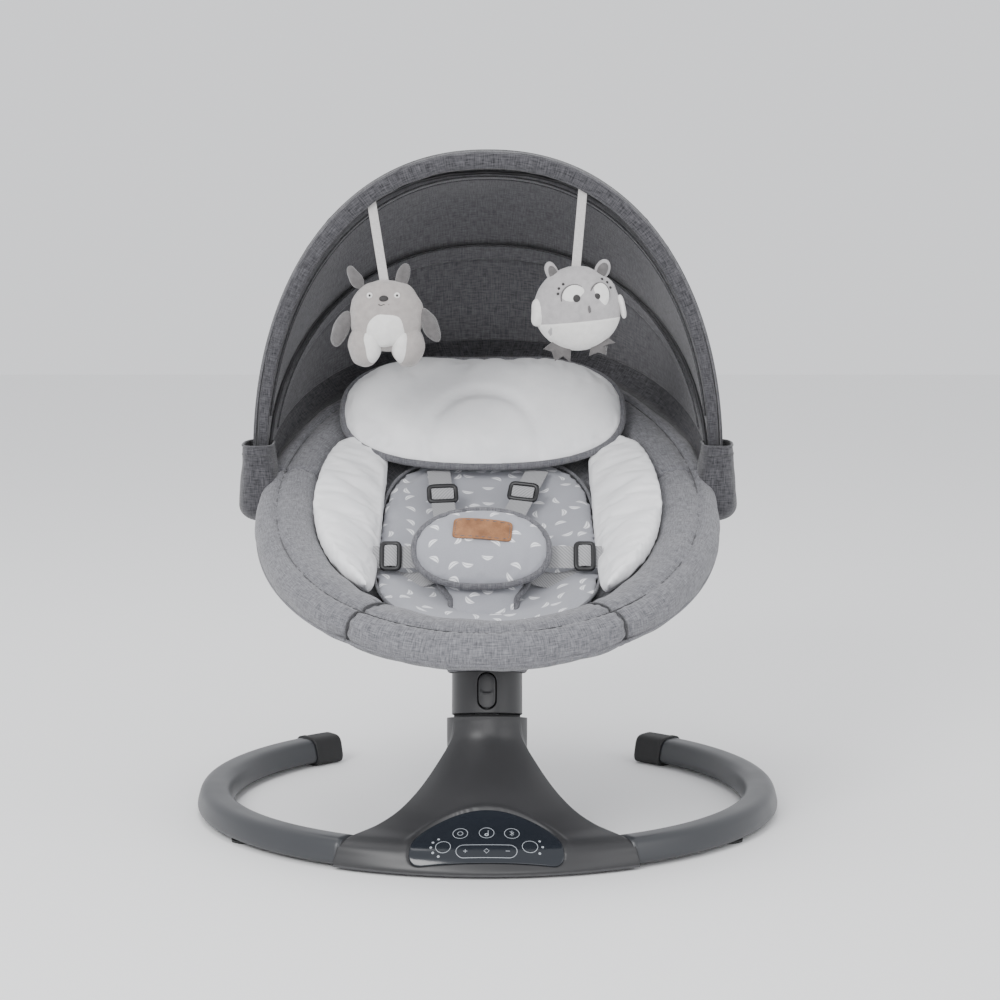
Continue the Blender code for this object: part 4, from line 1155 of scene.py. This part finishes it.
def canopy_piece(name, first, last, rows, rear, front, replaces=(), thick=0.0016, extra=0.0,
                 low_share=foot_share, folds=0.0):
    """One strip of canopy cloth with its wall: fixed to its rear body when rear and front are the same,
    otherwise its wall is applied and it stays unattached.
    """
    points, angle, share = canopy_grid(first, last, rows, low_share, 260, extra)
    if folds:
        edge = np.sin(pi * (angle - first) / (last - first))[:, None]
        slack = ripple(points, 0.12, 21) * 0.0022 + np.sin(share * 60 + angle[:, None] * 0.12) * 0.0004
        points = points + (slack * edge * folds)[..., None] * (points - (0, hinge_y, hinge_z)) / 0.3
    made = skin(name, points, away_from=(0, hinge_y + 0.05, hinge_z + 0.02))
    wall(made, thick)
    made.data.materials.append(canopy_cloth)
    # The wall's inner side and its rims take the lighter copy of the cloth: painted light on the canopy's
    # inside.
    made.data.materials.append(canopy_inside)
    made.modifiers["wall"].material_offset = 1
    made.modifiers["wall"].material_offset_rim = 1
    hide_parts(*replaces)
    if rear == front:
        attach(made, rear)
    else:
        bpy.context.view_layer.objects.active = made
        with bpy.context.temp_override(object=made, active_object=made):
            bpy.ops.object.modifier_apply(modifier="wall")
        ride_canopy(made, last, first)
    return made


# %% canopy cloth, hem and bow sleeves
canopy_piece("canopy_back", 42.0, 66.0, 60, "seat", "seat", ["canopy_tail"], folds=0.5)
canopy_piece("canopy_top", 10.0, 42.0, 90, "seat", "mid_bow", ["canopy_mid_panel"], folds=1.0)
canopy_piece("canopy_front", -6.8, 10.0, 50, "mid_bow", "front_bow", ["canopy_front_panel"], folds=0.4)
share = np.linspace(foot_share, 1 - foot_share, 320)[:, None]
turn = full_turn(28)[None]
swell = 0.45 + 0.55 * np.sin(pi * share) ** 0.8
casing_angle = np.radians(-6.3 + 0.85 * np.sin(turn))
casing_out = -0.0046 + 0.0094 * swell * np.cos(turn)
casing_points = arch_points(casing_angle, front_half, front_high, share, casing_out)
casing_points = push_out(casing_points, ripple(casing_points, 0.03, 8) * 0.0004)
casing = skin("canopy_casing", casing_points, (False, True), caps=True)
finished(casing, canopy_cloth, "front_bow")
canopy_piece("mid_sleeve_inner", 8.6, 11.6, 12, "mid_bow", "mid_bow", extra=-0.0094, thick=0.0012,
             low_share=inner_foot_share)
canopy_piece("rear_sleeve_inner", 40.4, 44.6, 12, "seat", "seat", extra=-0.0094, thick=0.0012,
             low_share=inner_foot_share)


def arch_rope(name, angle, off, radius, cloth, body, low_share=0.014, around=8):
    """Piping or a seam along an arch."""
    table = spline(arch_table, 400)
    half, high, base = (np.interp(angle, table[:, 0], table[:, k]) for k in (1, 2, 3))
    share = np.linspace(low_share, 1 - low_share, 320)
    path = arch_points(radians(angle), half, high, share, base + off)
    return rope(name, path, radius, cloth, body, around)


arch_rope("casing_seam_inner", -5.0, -0.0150, 0.0008, dark_piping, "front_bow")
arch_rope("casing_seam_outer", -5.0, -0.0004, 0.0009, dark_piping, "front_bow")
arch_rope("mid_piping", 10.0, 0.0006, 0.0018, dark_piping, "mid_bow")
arch_rope("mid_sleeve_seam_front", 8.6, -0.0108, 0.0009, dark_piping, "mid_bow", low_share=inner_foot_share)
arch_rope("mid_sleeve_seam_back", 11.6, -0.0108, 0.0009, dark_piping, "mid_bow", low_share=inner_foot_share)
arch_rope("rear_piping", 42.0, 0.0006, 0.0018, dark_piping, "seat")
arch_rope("rear_sleeve_seam", 40.4, -0.0108, 0.0009, dark_piping, "seat", low_share=inner_foot_share)

# %% lower back edge of the canopy
tail_low = canopy_grid(66.0, 66.1, 2, foot_share, 240)[0]
ring_share = np.linspace(0, 1, 240)
head_turn = hinge_turn + 0.02 + (pi - 2 * hinge_turn - 0.04) * (1 - ring_share)
head_line = on_ring(head_turn, 0.026, 0.012)
drop = np.linspace(0, 1, 36)[:, None, None]
skirt_points = tail_low[0][None] * (1 - drop) + head_line[None] * drop
skirt_points[..., 2] -= 0.006 * np.sin(pi * drop[..., 0])
skirt_points[..., 1] += 0.010 * np.sin(pi * drop[..., 0])
skirt = skin("canopy_skirt", skirt_points, away_from=(0, hinge_y + 0.05, hinge_z))
finished(wall(skirt, 0.0014), canopy_cloth, "seat")

# %% [markdown]
# ## Pockets over the hinges
# At each side the three bow feet sit in a flat cloth pocket that is sewn to the ring pad. Its outer side is
# rounded, and its top stays open so that the bows can fan out.

# %% hinge pockets
for side, word in ((-1, "left"), (1, "right")):
    long = np.linspace(0, 1, 70)[:, None]
    turn = full_turn(110)[None]
    c, s = np.cos(turn), np.sin(turn)
    shrink = np.sqrt(np.clip(1 - np.clip(0.22 - long, 0, 1) ** 2 / 0.0500, 0.02, 1))
    wide = (0.0245 - 0.0085 * long**1.5) * shrink
    deep = (0.0335 + 0.0010 * np.sin(pi * long)) * shrink
    x = side * (0.2440 + wide * curve_power(c, 0.65) + 0.0030 * long)
    y = hinge_y + deep * curve_power(s, 0.72)
    z = 0.2915 + 0.0830 * long
    points = stack(x, y, z)
    points = push_out(points, ripple(points, 0.035, 5 + side) * 0.0007)
    pocket = skin(f"{word}_pocket", points, (False, True), away_from=(side * 0.247, hinge_y, 0.334))
    wall(pocket, 0.0014)
    finished(pocket, canopy_cloth, "seat", [f"{word}_hinge_cover"])
    for part, row, radius, cloth in (("hem", -1, 0.0013, canopy_cloth),
                                     ("hem_seam", -9, 0.0006, dark_piping)):
        rope(f"{word}_pocket_{part}", points[row], radius, cloth, "seat", 8, closed=True)
    lowest = points[:1]
    hub = lowest.mean(1, keepdims=True)
    closing = hub + (lowest - hub) * np.array([1, 0.5, 0.001])[:, None, None]
    bottom = skin(f"{word}_pocket_bottom", closing, (False, True), away_from=(side * 0.247, hinge_y, 0.34))
    finished(wall(bottom, 0.0012), canopy_cloth, "seat")

# %% [markdown]
# ## The hanging toys
# Each toy is a stuffed shape built from rounded forms. A form is a sphere stretched to three half sizes and
# pressed towards its own middle plane, which makes the flat, pillow-like look of plush.

# %% toy parts
plush_grey = plush("plush_grey", (0.400, 0.370, 0.355), (0.335, 0.310, 0.298))
plush_dark = plush("plush_dark", (0.150, 0.143, 0.143), (0.105, 0.100, 0.100))
plush_white = plush("plush_white", (0.80, 0.79, 0.77), (0.72, 0.71, 0.69))
plush_owl = plush("plush_owl", (0.440, 0.425, 0.430), (0.365, 0.352, 0.356))
thread_dark = moulded("thread_dark", (0.030, 0.028, 0.028), 0.7)
ribbon_cloth = melange("ribbon_cloth", (0.42, 0.41, 0.40), (0.62, 0.60, 0.59), 0.0006, contrast=0.7)


def blob(name, centre, half, material, body, tilt=0.0, power=2.0, rows=40, columns=56, lumps=0.0006, seed=1):
    """A rounded form: |x/a|^p + |y/b|^2 + |z/c|^p = 1, turned by tilt about the y axis."""
    lat = np.linspace(0, pi, rows)[:, None]
    lon = full_turn(columns)[None]
    x, z = np.sin(lat) * np.cos(lon), np.sin(lat) * np.sin(lon)
    y = np.broadcast_to(-np.cos(lat), x.shape)
    x, z = squarer(x, z, 2 / power) if power != 2 else (x, z)
    x, y, z = half[0] * x, half[1] * y, half[2] * z
    c, s = cos(tilt), sin(tilt)
    points = stack(centre[0] + c * x + s * z, centre[1] + y, centre[2] - s * x + c * z)
    points = points + (ripple(points, 0.02, seed) * lumps)[..., None]
    return finished(skin(name, points, (False, True)), material, body)


def hang(name, top, end, body):
    """The toy's ribbon: a flat loop over the front bow, with its two layers sewn together below."""
    top, end = np.array(top), np.array(end)
    place = np.eye(4)
    along = (end - top) / np.linalg.norm(end - top)
    across = np.cross(along, (0, -1, 0))
    across /= np.linalg.norm(across)
    place[:3, 0], place[:3, 1], place[:3, 2] = across, along, np.cross(across, along)
    place[:3, 3] = (top + end) / 2
    half = float(np.linalg.norm(end - top)) / 2
    return webbing_strip(name, place, half, body, None, 0.0048, 0.0006, ribbon_cloth)


def bow_spot(share):
    """A point of the front bow's middle line."""
    return arch_points(radians(-5), 0.2481, 0.341, np.array([share]))[0]


def part_maker(word, middle_x, middle_z, usual_lumps):
    """A function that makes one form of a toy, placed in millimetres from the toy's middle."""

    def part(name, x, z, half, material, forward=0.0, tilt=0.0, power=2.0, lumps=usual_lumps):
        centre = (middle_x + x / 1000, toy_y - forward / 1000, middle_z + z / 1000)
        half = [h / 1000 for h in half]
        return blob(f"{word}_{name}", centre, half, material, f"{word}_toy", tilt, power, lumps=lumps)

    return part


# %% bear
toy_y = axis_y + 0.215
bear_x, bear_z = -0.1075, 0.507
bear_part = part_maker("bear", bear_x, bear_z, 0.0006)
body_piece = bear_part("body", 0, 8, (39.0, 21.0, 38.0), plush_grey, power=2.25)
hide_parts("bear_toy")
for side, word in ((-1, "left"), (1, "right")):
    bear_part(f"{word}_leg", side * 23.0, -23.5, (18.0, 18.0, 23.0), plush_grey, 1)
    bear_part(f"{word}_leg_front", side * 16.5, -22.0, (11.5, 14.5, 20.0), plush_white, 6.0)
bear_part("belly", 0, -2.5, (22.5, 12.5, 22.0), plush_white, 11.0, power=2.2)
bear_part("left_ear", -33.0, 48.0, (6.6, 5.0, 14.0), plush_dark, 0, -0.50)
bear_part("right_ear", 17.5, 49.5, (7.0, 5.0, 14.5), plush_dark, 0, 0.28)
bear_part("left_arm", -48.0, -6.0, (8.6, 7.5, 20.0), plush_dark, 2, 0.38)
bear_part("right_arm", 46.5, -2.0, (8.6, 7.5, 19.5), plush_dark, 2, -0.48)
for word, x in (("left", -17.0), ("right", 12.0)):
    bear_part(f"{word}_eye_ring", x, 30.5, (3.2, 1.6, 3.2), plush_white, 15.8, lumps=0)
    bear_part(f"{word}_eye", x, 30.5, (1.3, 1.2, 1.4), thread_dark, 17.0, lumps=0)
bear_part("nose", -2.0, 27.0, (5.0, 2.2, 3.6), thread_dark, 18.0, lumps=0)
smile = np.linspace(-1, 1, 20)
for side, word in ((-1, "left"), (1, "right")):
    path = stack(bear_x - 0.002 + 0.0028 * (side + smile), toy_y - 0.0196,
                 bear_z + 0.0215 - 0.0014 * (1 - smile**2))
    rope(f"bear_mouth_{word}", path, 0.0005, thread_dark, "bear_toy", 6)
hang("bear_ribbon", bow_spot(0.345) + (0, 0, -0.0050), (bear_x - 0.0020, toy_y, bear_z + 0.0440), "bear_toy")

# %% owl
owl_x, owl_z = 0.0950, 0.523
owl_part = part_maker("owl", owl_x, owl_z, 0.0004)


def felt(name, outline_mm, forward, thick, material, body):
    """A flat felt shape: an outline of (x, z) points, in millimetres from the owl's middle, with two faces."""
    edge = np.array(outline_mm, float) / 1000
    middle = edge.mean(0)
    reach = np.array([0.002, 0.93, 1.0, 1.0, 0.93, 0.002])[:, None]
    depth = np.array([-0.5, -0.5, -0.3, 0.3, 0.5, 0.5])[:, None] * thick
    x = middle[0] + (edge[:, 0] - middle[0])[None] * reach
    z = middle[1] + (edge[:, 1] - middle[1])[None] * reach
    points = stack(owl_x + x, toy_y - forward / 1000 + depth + 0 * x, owl_z + z)
    return finished(skin(name, points, (False, True)), material, body)


body_piece = owl_part("body", 0, 0, (46.0, 27.0, 44.5), plush_owl)
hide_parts("owl_toy")
down = np.linspace(0.001, radians(73), 30)[:, None]
turn = full_turn(80)[None]
slant = 0.10 * np.cos(turn) * (down / radians(73)) ** 2
cap_points = stack(
    owl_x + 0.0466 * np.sin(down + slant) * np.cos(turn),
    toy_y + 0.0276 * np.sin(down + slant) * np.sin(turn),
    owl_z - 0.0451 * np.cos(down + slant),
)
cap = skin("owl_belly_cloth", cap_points, (False, True), away_from=(owl_x, toy_y, owl_z))
finished(wall(cap, 0.0010), plush_white, "owl_toy")
owl_part("left_wing", -40.5, -4.0, (8.4, 9.0, 14.8), plush_white, 6, 0.06, 3.2)
owl_part("right_wing", 47.0, 2.0, (3.8, 9.0, 13.0), plush_white, 3, -0.22, 2.6)
owl_part("left_tuft", -27.5, 39.0, (7.0, 5.0, 10.5), plush_owl, 0, -0.42)
owl_part("left_tuft_inside", -26.0, 38.0, (4.6, 2.6, 7.6), plush_dark, 4.0, -0.42)
owl_part("right_tuft", 26.5, 41.0, (7.8, 5.0, 11.0), plush_owl, 0, 0.32)
owl_part("right_tuft_inside", 26.5, 40.5, (5.4, 2.6, 8.4), plush_dark, 4.0, 0.32)
ring_turn = full_turn(48)
for word, x, z, wide, high, pupil, deep in (
    ("left", -4.0, 12.5, 13.6, 13.6, 4.0, 24.0), ("right", 23.0, 14.5, 10.2, 13.6, 3.3, 20.6),
):
    owl_part(f"{word}_eye", x, z, (wide, 3.0, high), plush_white, deep - 1.0, lumps=0)
    path = stack(owl_x + (x + wide * np.cos(ring_turn)) / 1000,
                 toy_y - (deep - 1.4) / 1000 + (wide * np.cos(ring_turn) * (0.10 if x < 0 else 0.30)) / 1000,
                 owl_z + (z + high * np.sin(ring_turn)) / 1000)
    rope(f"owl_{word}_eye_seam", path, 0.0009, plush_dark, "owl_toy", 8, True)
    owl_part(f"{word}_pupil", x + (2.6 if x < 0 else -2.6), z - 0.6, (pupil, 1.6, pupil * 1.05), thread_dark,
             deep + 1.6, lumps=0)
for i, (x, z) in enumerate([(-21.0, 16.5), (-20.0, 22.0), (-15.5, 26.5), (25.5, 31.5), (31.0, 28.0),
                            (34.5, 22.5)]):
    depth = 27 * (1 - (x / 46) ** 2 - (z / 44.5) ** 2) ** 0.5
    owl_part(f"lash_{i}", x, z, (1.5, 1.0, 1.5), thread_dark, depth + 0.4, lumps=0)
owl_part("beak", 12.0, 0.5, (1.7, 2.4, 4.2), plush_dark, 26.0, -0.1, lumps=0)
felt("owl_left_foot", [(-25.9, -34.8), (-36.1, -43.0), (-27.2, -45.7), (-23.8, -55.9), (-15.0, -50.5),
                       (-7.4, -57.3),
                       (-6.8, -43.7), (-15.0, -38.2)], 6.0, 0.0022, plush_dark, "owl_toy")
felt("owl_right_foot", [(32.8, -31.4), (40.3, -36.2), (32.1, -38.2), (30.8, -49.1), (21.9, -46.4),
                        (12.3, -50.5),
                        (14.4, -40.9), (23.2, -36.8)], 6.0, 0.0022, plush_dark, "owl_toy")
hang("owl_ribbon", bow_spot(0.622) + (0, 0, -0.0050), (owl_x - 0.0015, toy_y, owl_z + 0.0430), "owl_toy")

# %% [markdown]
# ## What is left of the plain solids
# Frame tubes, brackets, pins and the parts inside the housing already have their final shape, so they only get
# their materials here.

# %% materials for the remaining solids
steel = moulded("steel_finish", (0.46, 0.47, 0.48), 0.30, 1500.0, 0.04, 1.0)
coated_tube = moulded("coated_tube", (0.10, 0.10, 0.105), 0.40)
nylon = moulded("nylon", (0.045, 0.045, 0.048), 0.5)
copper_wire = moulded("copper_wire", (0.60, 0.25, 0.11), 0.35, 1800.0, 0.2, 1.0)
board_green = moulded("board_green", (0.02, 0.10, 0.045), 0.45)
plain = {
    steel: ["swing_shaft", "drive_arm", "upper_bearing", "lower_bearing", "left_pivot_pin",
            "right_pivot_pin"],
    coated_tube: ["head_ring_tube", "foot_ring_tube", "left_support_arm", "right_support_arm", "seat_hub"],
    nylon: [
        "bearing_carrier", "power_socket", "base_bottom_cover", "left_hinge_bracket", "right_hinge_bracket",
        "front_canopy_bow", "mid_canopy_bow", "rear_canopy_bow", "harness_buckle",
    ],
    copper_wire: ["drive_coil"],
    board_green: ["control_board"],
    rubber: ["front_left_foot", "front_right_foot", "speaker"],
}
for material, names in plain.items():
    for name in names:
        node = bpy.data.objects[name]
        node.data.materials.clear()
        node.data.materials.append(material)
shown = [o.name for o in bpy.data.objects if "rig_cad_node" in o and not o.hide_render]
missed = sorted(set(shown) - {name for names in plain.values() for name in names})
print("plain solids shown", len(shown), "without a new material:", missed)

# %% [markdown]
# ## Floor, light and camera
# A plain pale floor meets a plain backdrop. One large soft light stands at the upper left, a weaker one at the
# right, and a third from above.

# %% stage
floor_mesh = bpy.data.meshes.new("floor")
floor_mesh.from_pydata([(-4, -5, 0), (4, -5, 0), (4, 5, 0), (-4, 5, 0)], [], [(0, 1, 2, 3)])
floor = bpy.data.objects.new("floor", floor_mesh)
bpy.context.scene.collection.objects.link(floor)
floor_paint = Nodes("floor_paint", 0.7, Base_Color=(0.88, 0.88, 0.88, 1)).material
floor.data.materials.append(floor_paint)
world = bpy.data.worlds.new("studio")
world.use_nodes = True
world.node_tree.nodes["Background"].inputs[0].default_value = (0.96, 0.97, 1.0, 1)
world.node_tree.nodes["Background"].inputs[1].default_value = 1.15
bpy.context.scene.world = world


def lamp(name, place, look_at, size, power, colour=(1, 1, 1)):
    """A square area light turned towards a point."""
    data = bpy.data.lights.new(name, "AREA")
    data.size, data.energy, data.color = size, power, colour
    made = bpy.data.objects.new(name, data)
    bpy.context.scene.collection.objects.link(made)
    made.location = place
    made.rotation_euler = (Vector(look_at) - Vector(place)).to_track_quat("-Z", "Y").to_euler()


lamp("key_light", (-1.5, -2.6, 2.1), (0, 0, 0.38), 1.3, 72)
lamp("front_light", (0.2, -3.3, 1.0), (0, 0, 0.45), 1.6, 26)
lamp("fill_light", (2.3, -1.6, 1.4), (0, 0, 0.35), 1.6, 14)
lamp("top_light", (-0.3, 0.6, 2.6), (0, 0, 0.4), 1.6, 24)

camera_data = bpy.data.cameras.new("camera")
camera_data.lens, camera_data.sensor_width = 109.2, 36
camera = bpy.data.objects.new("camera", camera_data)
bpy.context.scene.collection.objects.link(camera)
camera.location = (0.013, axis_y - 3.0, 0.745)
camera.rotation_euler = (radians(90 - 7.57), 0, 0)
bpy.context.scene.camera = camera
